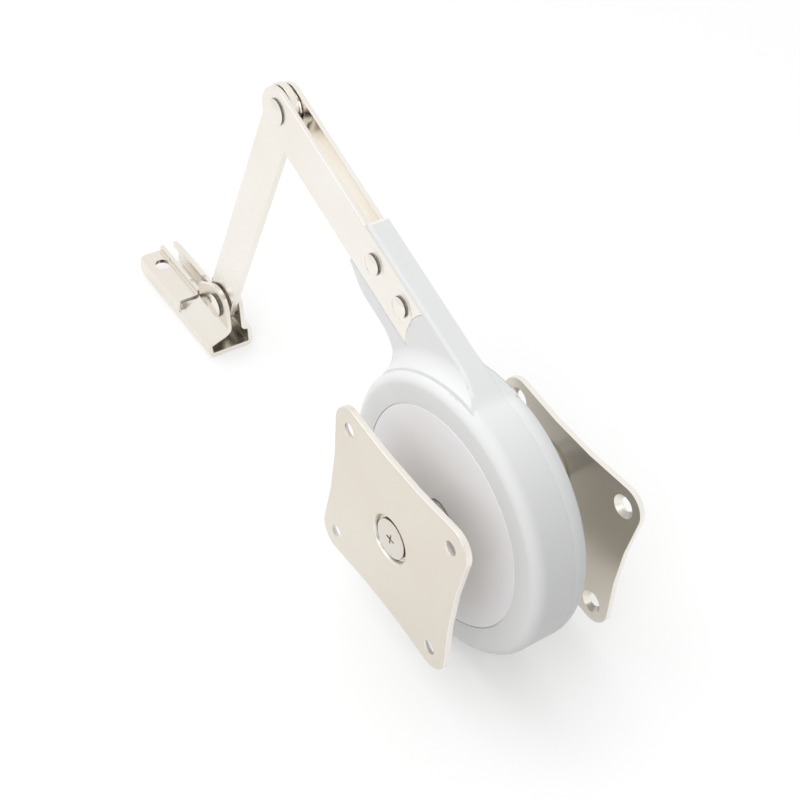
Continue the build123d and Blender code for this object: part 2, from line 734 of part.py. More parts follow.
def washer(start_y):
    """Flat ring on the bracket rivet, between an ear and the link."""
    with BuildPart() as ring:
        shaft_hole(pivot_x, pivot_z, washer_radius, start_y, start_y + washer_thickness, Mode.ADD)
        shaft_hole(pivot_x, pivot_z, bracket_rivet_radius + hole_gap, start_y, start_y + washer_thickness)
    return ring


front_washer = washer(arm_mid_y - ear_gap / 2 + washer_face_gap)
front_washer.part.label = "front_pivot_washer"
export_step(front_washer.part, "parts/front_pivot_washer.step")

rear_washer = washer(arm_mid_y + ear_gap / 2 - washer_face_gap - washer_thickness)
rear_washer.part.label = "rear_pivot_washer"
export_step(rear_washer.part, "parts/rear_pivot_washer.step")


# ---- Lid bracket -------------------------------------------------------------

back_x = pivot_x - bracket_back_reach
nose_x = pivot_x + bracket_nose_reach
relief_x = pivot_x - relief_reach
shoulder_z = floor_z + bracket_height
lip_z = shoulder_z + upstand
half_sheet = sheet / 2
base_mid = floor_z + half_sheet
shoulder_mid = shoulder_z - half_sheet
lip_mid = ear_gap / 2 + half_sheet
front_mid = arm_mid_y - bracket_front_reach + half_sheet
rear_mid = arm_mid_y + bracket_rear_reach - half_sheet


def fold(start_x, end_x, top_z, front_bend):
    """The folded section: ear or upstand, shoulder, wall, base, and back up again."""
    with BuildSketch(Plane.YZ.offset(start_x)) as section:
        with BuildLine():
            FilletPolyline(
                (arm_mid_y - lip_mid, top_z), (arm_mid_y - lip_mid, shoulder_mid),
                (front_mid, shoulder_mid), (front_mid, base_mid), (rear_mid, base_mid),
                (rear_mid, shoulder_mid), (arm_mid_y + lip_mid, shoulder_mid),
                (arm_mid_y + lip_mid, top_z),
                radius=[front_bend, fold_bend, fold_bend, fold_bend, fold_bend, fold_bend],
            )
            offset(amount=half_sheet, side=Side.BOTH)
        make_face()
    extrude(section.sketch, amount=end_x - start_x)


with BuildPart() as lid_bracket:
    fold(back_x, relief_x, lip_z, fold_bend)
    fold(relief_x, nose_x, pivot_z + ear_radius, ear_bend)
    # ears: everything outside their rounded outline goes
    with BuildSketch(across(arm_mid_y - bracket_front_reach)):
        with BuildLine():
            lean_back = math.radians(ear_back_slope)
            lean_front = math.radians(ear_front_slope)
            back_rise = ear_radius * math.cos(lean_back)
            front_rise = ear_radius * math.sin(lean_front)
            back_touch = (pivot_x - ear_radius * math.sin(lean_back), pivot_z + back_rise)
            front_touch = (pivot_x + ear_radius * math.cos(lean_front), pivot_z + front_rise)
            foot_drop = back_touch[1] - lip_z
            back_foot = (back_touch[0] - foot_drop / math.tan(lean_back), lip_z)
            nose_foot = (nose_x, front_touch[1] - (nose_x - front_touch[0]) / math.tan(lean_front))
            over = pivot_z + 2 * ear_radius
            ThreePointArc(back_touch, (pivot_x, pivot_z + ear_radius), front_touch)
            Line(front_touch, nose_foot)
            Line(nose_foot, (nose_x + beyond, nose_foot[1]))
            Line((nose_x + beyond, nose_foot[1]), (nose_x + beyond, over))
            Line((nose_x + beyond, over), (back_x, over))
            Line((back_x, over), (back_x, lip_z))
            Line((back_x, lip_z), back_foot)
            Line(back_foot, back_touch)
        make_face()
    extrude(amount=-(bracket_front_reach + bracket_rear_reach), mode=Mode.SUBTRACT)
    # relief slot between the flat shoulder and the one that rises to the ear
    with BuildSketch(Plane.XY.offset(shoulder_z - sheet - tiny)):
        slot_start = arm_mid_y - bracket_front_reach + sheet
        slot_end = arm_mid_y - ear_gap / 2
        with Locations((relief_x, (slot_start + slot_end) / 2)):
            Rectangle(relief_width, slot_end - slot_start)
        with Locations((relief_x, slot_start)):
            Circle(relief_width / 2)
    extrude(amount=sheet + upstand + beyond, mode=Mode.SUBTRACT)
    # screw access hole in the shoulder, fixing hole in the base, open end of the base
    hole_x = pivot_x - fixing_reach
    hole_y = arm_mid_y - fixing_offset
    with BuildSketch(Plane.XY.offset(shoulder_z - sheet - tiny)):
        with Locations((hole_x, hole_y)):
            Circle(access_hole_radius)
    extrude(amount=sheet + beyond, mode=Mode.SUBTRACT)
    with BuildSketch(Plane.XY.offset(floor_z)):
        with Locations((hole_x, hole_y)):
            Circle(fixing_hole_radius)
    extrude(amount=sheet, mode=Mode.SUBTRACT)
    shaft_hole(pivot_x, pivot_z, bracket_rivet_radius + hole_gap,
               arm_mid_y - bracket_front_reach, arm_mid_y + bracket_rear_reach)
    inner_front = arm_mid_y - bracket_front_reach + sheet
    inner_rear = arm_mid_y + bracket_rear_reach - sheet
    with BuildSketch(Plane.XY.offset(floor_z)):
        with Locations((back_x + base_setback / 2, (inner_front + inner_rear) / 2)):
            Rectangle(base_setback, inner_rear - inner_front)
    extrude(amount=sheet + tiny, mode=Mode.SUBTRACT)
lid_bracket.part.label = "lid_bracket"
export_step(lid_bracket.part, "parts/lid_bracket.step")
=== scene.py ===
"""Spring lid stay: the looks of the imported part, laid out as an add-on and run as a script."""

import json
import math

import bmesh
import bpy
from bpy.props import FloatProperty, FloatVectorProperty, PointerProperty
from mathutils import Euler, Matrix, Vector


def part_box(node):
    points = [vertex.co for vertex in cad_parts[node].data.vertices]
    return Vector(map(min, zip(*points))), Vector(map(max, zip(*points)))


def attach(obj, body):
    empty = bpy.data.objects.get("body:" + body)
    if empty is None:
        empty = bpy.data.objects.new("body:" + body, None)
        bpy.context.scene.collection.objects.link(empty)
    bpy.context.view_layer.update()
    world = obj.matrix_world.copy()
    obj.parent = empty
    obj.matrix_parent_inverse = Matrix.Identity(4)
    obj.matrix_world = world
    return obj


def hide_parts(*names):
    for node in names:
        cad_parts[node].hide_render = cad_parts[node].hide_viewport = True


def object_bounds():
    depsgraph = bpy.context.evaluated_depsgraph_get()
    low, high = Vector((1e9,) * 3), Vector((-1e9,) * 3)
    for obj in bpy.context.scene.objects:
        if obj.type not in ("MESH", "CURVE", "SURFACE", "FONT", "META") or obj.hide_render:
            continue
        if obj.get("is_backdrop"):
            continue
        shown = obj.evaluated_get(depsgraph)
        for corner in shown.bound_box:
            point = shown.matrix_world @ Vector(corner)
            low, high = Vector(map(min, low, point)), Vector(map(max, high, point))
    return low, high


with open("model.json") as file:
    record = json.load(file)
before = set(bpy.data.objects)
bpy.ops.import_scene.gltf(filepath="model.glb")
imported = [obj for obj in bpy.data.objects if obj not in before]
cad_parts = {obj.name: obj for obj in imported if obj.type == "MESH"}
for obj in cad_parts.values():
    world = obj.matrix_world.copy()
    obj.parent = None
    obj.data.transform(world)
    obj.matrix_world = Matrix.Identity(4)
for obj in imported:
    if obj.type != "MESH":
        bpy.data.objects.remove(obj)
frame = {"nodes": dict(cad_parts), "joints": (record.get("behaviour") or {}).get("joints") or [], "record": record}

bl_info = {
    "name": "Spring Lid Stay",
    "version": (1, 0, 0),
    "blender": (4, 5, 0),
    "location": "View3D > Sidebar > Lid Stay",
    "description": "Models and finishes the pieces of a folding lid stay with a spring drum",
    "category": "Object",
}

MM = 0.001
ROW_FRAME = Matrix.Diagonal((MM, MM, MM, 1))    # from millimetres to the row's metres
MOUNTS = {mount["name"]: mount for mount in frame["record"]["mounts"]}
JOINTS = {joint["name"]: joint for joint in frame["joints"]}
SHAFT = Vector(JOINTS["arm_swing"]["pos_m"])
ELBOW = Vector(JOINTS["elbow"]["pos_m"])
PIVOT = Vector(JOINTS["lid_pivot"]["pos_m"])
RIGHT = Vector((1, 0, 0))
BACK = Vector((0, 1, 0))
UP = Vector((0, 0, 1))
WELD = 1e-4                     # in a piece's own millimetres
NEAR = 0.02                     # how closely a vertex has to lie on a circle, in millimetres
FINE_STEP = math.radians(6)     # of a drawn arc
ROUND_STEPS = 4                 # facets across a rounded edge
TURN_STEPS = 72                 # facets round a turned piece
DOME_STEPS = 8                  # facets from a rivet head's middle to its rim

# The stage, in metres and degrees
PART_MIDDLE = Vector((-0.07, 0.03, 0.0))
FLOOR_RADIUS = 6.0
FLOOR_GAP = 0.0003
CARD_RIM, CARD_CORE = 0.80, 0.93    # cosines from the dark card's middle, where it starts and is full
CAMERA_PLACE = (0.235042, -0.208979, 0.378411)
CAMERA_TURNS = (44.94154, -6.31073, 55.32333)


def depth_of(node):
    """Where a node starts and ends along the shaft, in millimetres."""
    low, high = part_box(node)
    return low.y / MM, high.y / MM


# ---- Sizes and colours that a user would change ------------------------------

def size(name, description, default):
    """A length that is kept in millimetres and shown as a plain number."""
    return FloatProperty(name=name, description=description, default=default, min=0.0, unit="NONE")


def colour(name, description, default):
    """A finish's own colour, as scene-linear red, green and blue."""
    return FloatVectorProperty(
        name=name, description=description, default=default, subtype="COLOR", size=3, min=0.0, max=1.0)


class LIDSTAY_PG_plates(bpy.types.PropertyGroup):
    """Sizes of the two mounting plates, in millimetres."""

    thickness: size("Thickness", "Each plate's sheet", 2.5)
    hole_radius: size("Hole radius", "Screw holes, on the outer face", 2.75)
    countersink: size("Countersink radius", "Screw holes, on the drum's side", 4.6)
    lobe: size("Lobe radius", "Round of each corner", 8.5)
    sag: size("Side sag", "How far each side curves in", 2.0)
    dish_radius: size("Dish radius", "Dish for the shaft screw, at the outer face", 9.5)
    dish_depth: size("Dish depth", "Outer face to the dish's floor", 2.3)
    dish_wall: size("Dish wall", "Boss beyond the dish's rim, on the drum's side", 1.6)
    screw_hole: size("Screw hole radius", "Hole round the shaft screw", 3.2)
    edge_round: size("Edge round", "Rolled-over edge of the outer face", 0.55)
    burr_round: size("Inner edge round", "Edge of the inner face", 0.2)


class LIDSTAY_PG_arm(bpy.types.PropertyGroup):
    """Sizes of the arm, its rivets and the link bar, in millimetres."""

    offset: size("Arm offset", "Arm's centre line above the drum's centre", 40.3)
    elbow_lift: size("Elbow lift", "Elbow rivet above the arm's centre line", 0.9)
    width: size("Arm width", "Across the arm plates", 19.5)
    thickness: size("Arm plate thickness", "Each of the two arm plates", 2.0)
    elbow_boss: size("Elbow boss radius", "Boss round the elbow rivet, beside the link", 7.0)
    heel: size("Heel reach", "Drum centre to the plates' lower tips, along the arm", 52.0)
    heel_radius: size("Heel hollow", "Radius of the plates' hollow lower end", 18.0)
    rivet_reach: size("Lower rivet reach", "Drum centre to the lower neck rivet, along the arm", 61.9)
    rivet_spacing: size("Rivet spacing", "Between the neck rivets", 18.5)
    dimple_radius: size("Dimple radius", "Shallow dimple round each neck rivet", 6.8)
    dimple_depth: size("Dimple depth", "Depth of that dimple", 0.35)
    rivet_hole: size("Rivet hole radius", "Holes for the neck rivets", 2.55)
    elbow_hole: size("Elbow hole radius", "Holes for the elbow rivet", 3.05)
    edge_round: size("Edge round", "Edges of the arm plates and the link", 0.4)
    link_width: size("Link width", "Across the link bar", 17.2)
    link_offset: size("Link hole offset", "Link's holes beside its centre line", 1.5)
    link_hole: size("Link hole radius", "Holes that turn on the elbow and bracket rivets", 3.06)


class LIDSTAY_PG_neck(bpy.types.PropertyGroup):
    """Sizes that find and round the edges of the drum's neck, in millimetres."""

    top_rim: size("Top rim", "Neck's straight top above the arm plates", 2.15)
    tip_margin: size("Tip margin", "Upper neck rivet to the neck's tip", 10.0)
    front_start: size("Front start", "Drum centre to where the front edge is round", 18.4)
    rear_start: size("Rear start", "Drum centre to where the rear edge is round", 15.0)
    tip_round: size("Tip round", "Corner of the top and the tip", 1.9)
    front_round: size("Front round", "Front edge of the top", 1.3)
    rear_round: size("Rear round", "Rear edge of the top", 0.5)
    belly_round: size("Belly round", "Edges of the underside and the tip", 0.55)


class LIDSTAY_PG_fixings(bpy.types.PropertyGroup):
    """Sizes of the screws, collars, rivets and washers, in millimetres."""

    screw_head: size("Screw head", "Radius of the shaft screws' heads", 7.7)
    screw_height: size("Screw head height", "Height of those heads", 1.9)
    screw_stem: size("Screw stem", "Radius of the shaft screws' stems", 3.0)
    cross_length: size("Cross length", "Cross recess, end to end", 4.4)
    cross_width: size("Cross width", "Each arm of the cross recess", 0.8)
    cross_depth: size("Cross depth", "Depth of the cross recess", 0.9)
    collar_bore: size("Collar bore", "Inner radius of the shaft collars", 4.55)
    collar_radius: size("Collar radius", "Outer radius of the shaft collars", 6.5)
    neck_stem: size("Neck rivet", "Radius of the neck rivets' stems", 2.5)
    neck_head: size("Neck rivet head", "Radius of their heads", 4.0)
    neck_dome: size("Neck rivet dome", "Height of their domes", 1.25)
    pivot_stem: size("Pivot rivet", "Radius of the elbow and bracket rivets' stems", 3.0)
    elbow_head: size("Elbow rivet head", "Radius of its heads", 5.0)
    elbow_dome: size("Elbow rivet dome", "Height of its domes", 1.3)
    bracket_head: size("Bracket rivet head", "Radius of its heads", 5.2)
    bracket_dome: size("Bracket rivet dome", "Height of its domes", 0.4)
    washer_bore: size("Washer bore", "Inner radius of the pivot washers", 3.05)
    washer_radius: size("Washer radius", "Outer radius of the pivot washers", 6.2)


class LIDSTAY_PG_bracket(bpy.types.PropertyGroup):
    """Sizes that shape the folded bracket's nose, in millimetres."""

    ear_face: size("Ear face", "Arm's middle plane to the ears' outer faces", 4.2)
    notch_reach: size("Notch reach", "Pivot to the relief notch", 15.0)
    notch_width: size("Notch width", "Across the relief notch", 1.6)
    base_height: size("Base height", "Height that the slope leaves level", 4.0)
    nose_drop: size("Nose drop", "How far the nose's front edge runs down", 4.2)
    edge_round: size("Edge round", "Edges of the folded sheet", 0.18)


class LIDSTAY_PG_finishes(bpy.types.PropertyGroup):
    """Colours of the finishes."""

    nickel: colour("Nickel", "Plated steel of the mounting plates", (0.725, 0.675, 0.595))
    # On the mounting plates' edges this paler colour is a painted highlight.
    pale: colour("Pale nickel", "Arm, link and the mounting plates' edges", (0.87, 0.835, 0.78))
    fold: colour("Bracket nickel", "Plated steel of the folded bracket", (0.84, 0.80, 0.735))
    rivet: colour("Rivet steel", "Polished rivet heads", (0.86, 0.825, 0.77))
    screw: colour("Screw steel", "Zinc-plated screws and washers", (0.70, 0.66, 0.60))
    turned: colour("Turned steel", "Shaft, collars, hub and pin", (0.60, 0.59, 0.58))
    # Painted light: the facing sides of the arm plates are paler than the arm, to make up for the shade in the gap
    # between them.
    inner: colour("Inner steel, painted light", "Facing sides of the two arm plates", (0.97, 0.94, 0.89))
    # Painted shade: this dark colour on the sides of the rivet and screw heads stands in for the shade and dark
    # reflection that rim them.
    sheared: colour("Sheared steel", "Sides of the rivet and screw heads", (0.13, 0.125, 0.11))
    spring: colour("Spring steel", "Blued strip of the mainspring", (0.10, 0.11, 0.15))
    housing: colour("Housing plastic", "Drum housing and rear cover", (0.82, 0.83, 0.825))
    # The cap's lilac tint is its own; how much paler it is than the housing is partly painted light against the
    # front plate's shade.
    cap: colour("Cap plastic", "Front cap of the drum", (0.96, 0.955, 0.975))
    bush: colour("Bush plastic", "Bearing bushes", (0.80, 0.78, 0.70))


class LIDSTAY_PG_studio(bpy.types.PropertyGroup):
    """Light and view."""

    sky: FloatProperty(
        name="Sky", description="Light from all round", default=0.50, min=0.0)
    lean: FloatVectorProperty(
        name="Lean", description="Where that light is stronger", default=(-0.85, -0.05, 0.55))
    card: FloatProperty(
        name="Dark card", description="Strength of the dark card that only reflections show",
        default=1.0, min=0.0, max=1.0)
    card_side: FloatVectorProperty(
        name="Card side", description="Direction from the part to the dark card",
        default=(0.563, -0.441, 0.698))
    key: FloatProperty(
        name="Key lamp", description="Power of the large lamp above", default=1.2, min=0.0, unit="POWER")
    front: FloatProperty(
        name="Front lamp", description="Power of the lamp behind the camera",
        default=3.6, min=0.0, unit="POWER")
    paper: FloatProperty(
        name="Paper", description="How pale the floor is under the lamps", default=0.63, min=0.0, max=1.0)
    floor: FloatProperty(
        name="Floor", description="How much paler the floor is to the eye", default=0.37, min=0.0, max=1.0)
    lens: FloatProperty(
        name="Lens", description="Focal length", default=64.57, min=1.0, unit="CAMERA")


# ---- Placing, drawing and closing shapes -------------------------------------

def placed(origin, along, up):
    """Matrix from a piece's own millimetres to the row frame; its depth runs along the shaft."""
    turn = Matrix((along, up, BACK)).transposed().to_4x4()
    return Matrix.Translation(origin) @ turn @ ROW_FRAME


def arm_direction():
    """Unit vector along the arm, from the drum towards the elbow."""
    arm = bpy.context.scene.lid_stay_arm
    across = math.hypot(ELBOW.x, ELBOW.z)
    rise = math.atan2(ELBOW.z, -ELBOW.x) - math.asin((arm.offset + arm.elbow_lift) * MM / across)
    return Vector((-math.cos(rise), 0, math.sin(rise)))


def arm_frame():
    """Own frame of the arm's pieces: along the arm, up from it, depth from the row's origin."""
    along = arm_direction()
    return placed(Vector(), along, BACK.cross(along))


def link_frame():
    """Own frame of the link bar: from the bracket's pivot up to the elbow."""
    along = (ELBOW - PIVOT).normalized()
    return placed(Vector((PIVOT.x, 0, PIVOT.z)), along, BACK.cross(along))


def shaft_frame(centre=None):
    """Own frame of a piece square to the shaft: along X, up Z, depth from the row's origin."""
    origin = Vector() if centre is None else Vector((centre.x, 0, centre.z))
    return placed(origin, RIGHT, UP)


def darken_sides(bm, radius):
    """Paints the side of a head, at a radius about the piece's own depth axis, with the second finish: painted
    shade, a dark band that stands in for the shade and dark reflection at the head's rim.
    """
    for face in bm.faces:
        if all(abs(math.hypot(vert.co.x, vert.co.y) - radius) < NEAR for vert in face.verts):
            face.material_index = 1


def finished(name, bm, where, body, finish, replaced, second="sheared", crease=32.0):
    """Closes the mesh, puts it in the row frame and makes it a piece that rides on a body."""
    bmesh.ops.remove_doubles(bm, verts=bm.verts, dist=WELD)
    bmesh.ops.transform(bm, matrix=where, verts=bm.verts)
    bmesh.ops.recalc_face_normals(bm, faces=bm.faces)
    mesh = bpy.data.meshes.new(name)
    bm.to_mesh(mesh)
    bm.free()
    mesh.shade_smooth()
    mesh.set_sharp_from_angle(angle=math.radians(crease))
    mesh.materials.append(finish)
    # A second finish goes on the faces marked for it; by default it is the painted shade of head sides.
    if any(face.material_index for face in mesh.polygons):
        mesh.materials.append(FINISHES[second])
    piece = bpy.data.objects.new(name, mesh)
    bpy.context.scene.collection.objects.link(piece)
    weights = piece.modifiers.new("Even shading", "WEIGHTED_NORMAL")
    weights.keep_sharp = True
    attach(piece, body)
    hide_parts(*replaced)


def start_outline(bm, x, y):
    """First vertex of an outline."""
    return bm.verts.new((x, y, 0))


def line_to(bm, tip, x, y):
    """A straight run from the tip to a point."""
    tip = bmesh.ops.extrude_vert_indiv(bm, verts=[tip])["verts"][0]
    tip.co = (x, y, 0)
    return tip


def arc_about(bm, tip, centre, angle):
    """An arc from the tip round a centre; a positive angle, in radians, runs anticlockwise."""
    steps = max(3, math.ceil(abs(angle) / FINE_STEP))
    last = bmesh.ops.spin(
        bm, geom=[tip], cent=(*centre, 0), axis=(0, 0, 1), angle=angle, steps=steps)["geom_last"]
    return next(item for item in last if isinstance(item, bmesh.types.BMVert))


def rounded_face(bm, face, radius):
    """Rolls the edge of a flat face over by narrow insets that climb a quarter circle."""
    for step in range(ROUND_STEPS):
        before = step / ROUND_STEPS * math.pi / 2
        after = (step + 1) / ROUND_STEPS * math.pi / 2
        inward = radius * (math.cos(before) - math.cos(after))
        outward = radius * (math.sin(after) - math.sin(before))
        bmesh.ops.inset_region(
            bm, faces=[face], thickness=inward, depth=outward,
            use_even_offset=True, use_boundary=True)


def hole_wall(bm, x, y, profile):
    """Spins a hole's wall from (radius, depth) points and returns its two open rims."""
    chain = [bm.verts.new((x + radius, y, depth)) for radius, depth in profile]
    edges = [bm.edges.new(pair) for pair in zip(chain, chain[1:])]
    known = set(bm.edges) - set(edges)
    bmesh.ops.spin(
        bm, geom=chain + edges, cent=(x, y, 0), axis=(0, 0, 1),
        angle=2 * math.pi, steps=TURN_STEPS, use_merge=True)
    rims = []
    for radius, depth in (profile[0], profile[-1]):
        rims.append([
            edge for edge in bm.edges if edge not in known and all(
                abs(v.co.z - depth) < WELD and abs(math.hypot(v.co.x - x, v.co.y - y) - radius) < WELD
                for v in edge.verts)])
    return rims


def sheet_piece(bm, depth, thickness, low_round, high_round, holes=()):
    """Gives the closed outline in bm a thickness, rounded edges and spun holes.

    The outline's own depth is 0; the piece runs from depth to depth + thickness. Each hole
    is (x, y, profile), its profile running from the low face to the high one.
    """
    bmesh.ops.remove_doubles(bm, verts=bm.verts, dist=WELD)
    low = bmesh.ops.contextual_create(bm, geom=bm.edges[:])["faces"][0]
    bmesh.ops.translate(bm, verts=bm.verts, vec=(0, 0, depth + low_round))
    grown = bmesh.ops.extrude_face_region(bm, geom=[low])["geom"]
    high = next(item for item in grown if isinstance(item, bmesh.types.BMFace))
    bmesh.ops.translate(bm, verts=high.verts, vec=(0, 0, thickness - low_round - high_round))
    bmesh.ops.recalc_face_normals(bm, faces=bm.faces)
    rounded_face(bm, low, low_round)
    rounded_face(bm, high, high_round)
    if not holes:
        return
    rims = [hole_wall(bm, *hole) for hole in holes]
    for side, face in enumerate((low, high)):
        edges = face.edges[:] + [edge for pair in rims for edge in pair[side]]
        bmesh.ops.delete(bm, geom=[face], context="FACES_ONLY")
        bmesh.ops.triangle_fill(bm, use_beauty=True, edges=edges, normal=(0, 0, 1))


def turned_piece(bm, profile, x=0.0, y=0.0, closed=True):
    """Turns (radius, depth) points about the piece's own depth axis."""
    chain = [bm.verts.new((x + radius, y, depth)) for radius, depth in profile]
    ends = zip(chain, chain[1:] + chain[:1]) if closed else zip(chain, chain[1:])
    edges = [bm.edges.new(pair) for pair in ends]
    bmesh.ops.spin(
        bm, geom=chain + edges, cent=(x, y, 0), axis=(0, 0, 1),
        angle=2 * math.pi, steps=TURN_STEPS, use_merge=True)
    bmesh.ops.remove_doubles(bm, verts=bm.verts, dist=WELD)


def soften(bm, width, segments=2, angle=35.0, chosen=None, clamped=True):
    """Bevels the sharp edges, all of them or those that chosen() picks."""
    limit = math.radians(angle)
    sharp = [
        edge for edge in bm.edges
        if len(edge.link_faces) == 2 and edge.calc_face_angle() > limit
        and (chosen is None or chosen(edge))]
    bmesh.ops.bevel(
        bm, geom=sharp, offset=width, offset_type="OFFSET", affect="EDGES", segments=segments,
        profile=0.5, material=-1, clamp_overlap=clamped)


def merged_copy(node):
    """A welded copy of a node's mesh, in millimetres, with its flats made whole."""
    bm = bmesh.new()
    bm.from_mesh(frame["nodes"][node].data)
    bmesh.ops.scale(bm, verts=bm.verts, vec=(1 / MM, 1 / MM, 1 / MM))
    bmesh.ops.remove_doubles(bm, verts=bm.verts, dist=WELD)
    bmesh.ops.dissolve_limit(
        bm, angle_limit=math.radians(0.4), verts=bm.verts, edges=bm.edges, delimit={"NORMAL"})
    return bm


# ---- Finishes ----------------------------------------------------------------

def blank_finish(name):
    """A new node finish: its material, nodes, links, shader and object coordinates."""
    finish = bpy.data.materials.new(name)
    finish.use_nodes = True
    nodes, links = finish.node_tree.nodes, finish.node_tree.links
    shader = next(node for node in nodes if node.type == "BSDF_PRINCIPLED")
    place = nodes.new("ShaderNodeTexCoord").outputs["Object"]
    return finish, nodes, links, shader, place


def stretched(nodes, links, place, scale, turn=(0.0, 0.0, 0.0)):
    """Object coordinates, turned and stretched for a pattern with a direction."""
    mapping = nodes.new("ShaderNodeMapping")
    mapping.inputs["Rotation"].default_value = turn
    mapping.inputs["Scale"].default_value = scale
    links.new(place, mapping.inputs["Vector"])
    return mapping.outputs["Vector"]


def noise(nodes, links, vector, scale, detail):
    """Smooth noise of a given fineness."""
    pattern = nodes.new("ShaderNodeTexNoise")
    pattern.inputs["Scale"].default_value = scale
    pattern.inputs["Detail"].default_value = detail
    links.new(vector, pattern.inputs["Vector"])
    return pattern.outputs["Fac"]


def spread(nodes, links, value, low, high):
    """Carries a pattern's middle range to the range low to high."""
    span = nodes.new("ShaderNodeMapRange")
    span.inputs["From Min"].default_value = 0.3
    span.inputs["From Max"].default_value = 0.7
    span.inputs["To Min"].default_value = low
    span.inputs["To Max"].default_value = high
    links.new(value, span.inputs["Value"])
    return span.outputs["Result"]


def tinted(nodes, links, value, first, second):
    """Mixes two colours by a pattern."""
    ramp = nodes.new("ShaderNodeValToRGB")
    ramp.color_ramp.elements[0].position = 0.3
    ramp.color_ramp.elements[1].position = 0.7
    ramp.color_ramp.elements[0].color = (*first, 1.0)
    ramp.color_ramp.elements[1].color = (*second, 1.0)
    links.new(value, ramp.inputs["Fac"])
    return ramp.outputs["Color"]


def bumped(nodes, links, shader, height, depth, strength):
    """Raises the surface by a pattern, depth in metres."""
    bump = nodes.new("ShaderNodeBump")
    bump.inputs["Distance"].default_value = depth
    bump.inputs["Strength"].default_value = strength
    links.new(height, bump.inputs["Height"])
    links.new(bump.outputs["Normal"], shader.inputs["Normal"])


def shaded(rgb, share):
    """A colour made a little darker or lighter."""
    return tuple(min(1.0, part * share) for part in rgb)


def warmed(rgb, amount):
    """A colour moved a little towards red, or towards blue if the amount is negative."""
    return (min(1.0, rgb[0] * (1 + amount)), rgb[1], rgb[2] * (1 - amount))


def surfaced(nodes, links, shader, clouds, tints, grain, gloss):
    """Tints a finish by one pattern and varies its roughness by another."""
    links.new(tinted(nodes, links, clouds, *tints), shader.inputs["Base Color"])
    links.new(spread(nodes, links, grain, *gloss), shader.inputs["Roughness"])


def steel_finish(name, rgb, roughness, grain, turn):
    """Plated steel: cloudy tint, fine rolled grain along one direction, soft gloss."""
    finish, nodes, links, shader, place = blank_finish(name)
    shader.inputs["Metallic"].default_value = 1.0
    clouds = noise(nodes, links, place, scale=24.0, detail=1.0)
    tints = shaded(warmed(rgb, 0.015), 0.97), shaded(warmed(rgb, -0.01), 1.02)
    along = stretched(nodes, links, place, (0.05, 1.0, 1.0), turn)
    lines = noise(nodes, links, along, scale=5200.0, detail=2.0)
    surfaced(nodes, links, shader, clouds, tints, lines, (roughness - grain, roughness + grain))
    return finish


def turned_finish(name, rgb, roughness):
    """Turned steel: fine rings left by the tool, running round the shaft."""
    finish, nodes, links, shader, place = blank_finish(name)
    shader.inputs["Metallic"].default_value = 1.0
    clouds = noise(nodes, links, place, scale=160.0, detail=3.0)
    tints = shaded(rgb, 0.9), shaded(rgb, 1.1)
    along = stretched(nodes, links, place, (0.02, 1.0, 0.02))
    rings = noise(nodes, links, along, scale=4200.0, detail=2.0)
    surfaced(nodes, links, shader, clouds, tints, rings, (roughness - 0.06, roughness + 0.08))
    bumped(nodes, links, shader, rings, depth=0.00002, strength=0.4)
    return finish


def plastic_finish(name, rgb, roughness):
    """Satin moulding: faint flow clouds and a fine sparked texture."""
    finish, nodes, links, shader, place = blank_finish(name)
    clouds = noise(nodes, links, place, scale=22.0, detail=2.0)
    tints = shaded(rgb, 0.985), shaded(rgb, 1.012)
    shader.inputs["Specular IOR Level"].default_value = 0.42
    grain = noise(nodes, links, place, scale=3400.0, detail=2.0)
    surfaced(nodes, links, shader, clouds, tints, grain, (roughness - 0.04, roughness + 0.05))
    bumped(nodes, links, shader, grain, depth=0.00002, strength=0.3)
    return finish


# What each finish is called, its colour on the panel, how rough it is and, for plated steel,
# how much its rolled grain shows and how far that grain is turned about the shaft, in degrees.
PLATED = {
    "nickel": ("nickel_plated_steel", "nickel", 0.22, 0.01, 0),
    "pale": ("pale_nickel_plated_steel", "pale", 0.34, 0.02, 18),
    "pale_upright": ("pale_nickel_plated_steel_upright", "pale", 0.28, 0.02, -72),
    "bracket": ("nickel_plated_fold", "fold", 0.24, 0.01, 0),
    "rivet": ("polished_rivet_steel", "rivet", 0.12, 0.01, 0),
    # Painted light: paler and glossier than the arm, against the shade in the gap between the plates.
    "inner": ("bright_inner_steel", "inner", 0.16, 0.0, 0),
    # Painted shade: a dark finish for the sides of the rivet and screw heads.
    "sheared": ("sheared_steel", "sheared", 0.3, 0.05, 0),
    "screw": ("zinc_plated_steel", "screw", 0.2, 0.02, 0),
    "spring": ("blued_spring_steel", "spring", 0.3, 0.05, 0),
}
MOULDED = {
    "housing": ("grey_moulding", "housing", 0.42),
    # Paler than the housing, partly as painted light against the shade of the front plate.
    "cap": ("lilac_grey_moulding", "cap", 0.46),
    "bush": ("bearing_plastic", "bush", 0.5),
}
FINISHES = {}


def refinish(node, finish):
    """Gives a node that is shown as it is its real finish."""
    shown = frame["nodes"][node]
    shown.data.materials.clear()
    shown.data.materials.append(FINISHES[finish])
    shown.data.shade_smooth()
    shown.data.set_sharp_from_angle(angle=math.radians(30))


# ---- Operators ---------------------------------------------------------------

class LIDSTAY_OT_finishes(bpy.types.Operator):
    """Make every steel and plastic finish once, from the panel's colours"""

    bl_idname = "lid_stay.finishes"
    bl_label = "Finishes"

    def execute(self, context):
        tones = context.scene.lid_stay_finishes
        for key, (name, tone, roughness, grain, turn) in PLATED.items():
            about_shaft = (0.0, math.radians(turn), 0.0)
            FINISHES[key] = steel_finish(name, getattr(tones, tone), roughness, grain, about_shaft)
        for key, (name, tone, roughness) in MOULDED.items():
            FINISHES[key] = plastic_finish(name, getattr(tones, tone), roughness)
        FINISHES["turned"] = turned_finish("turned_steel", tones.turned, 0.3)
        return {"FINISHED"}


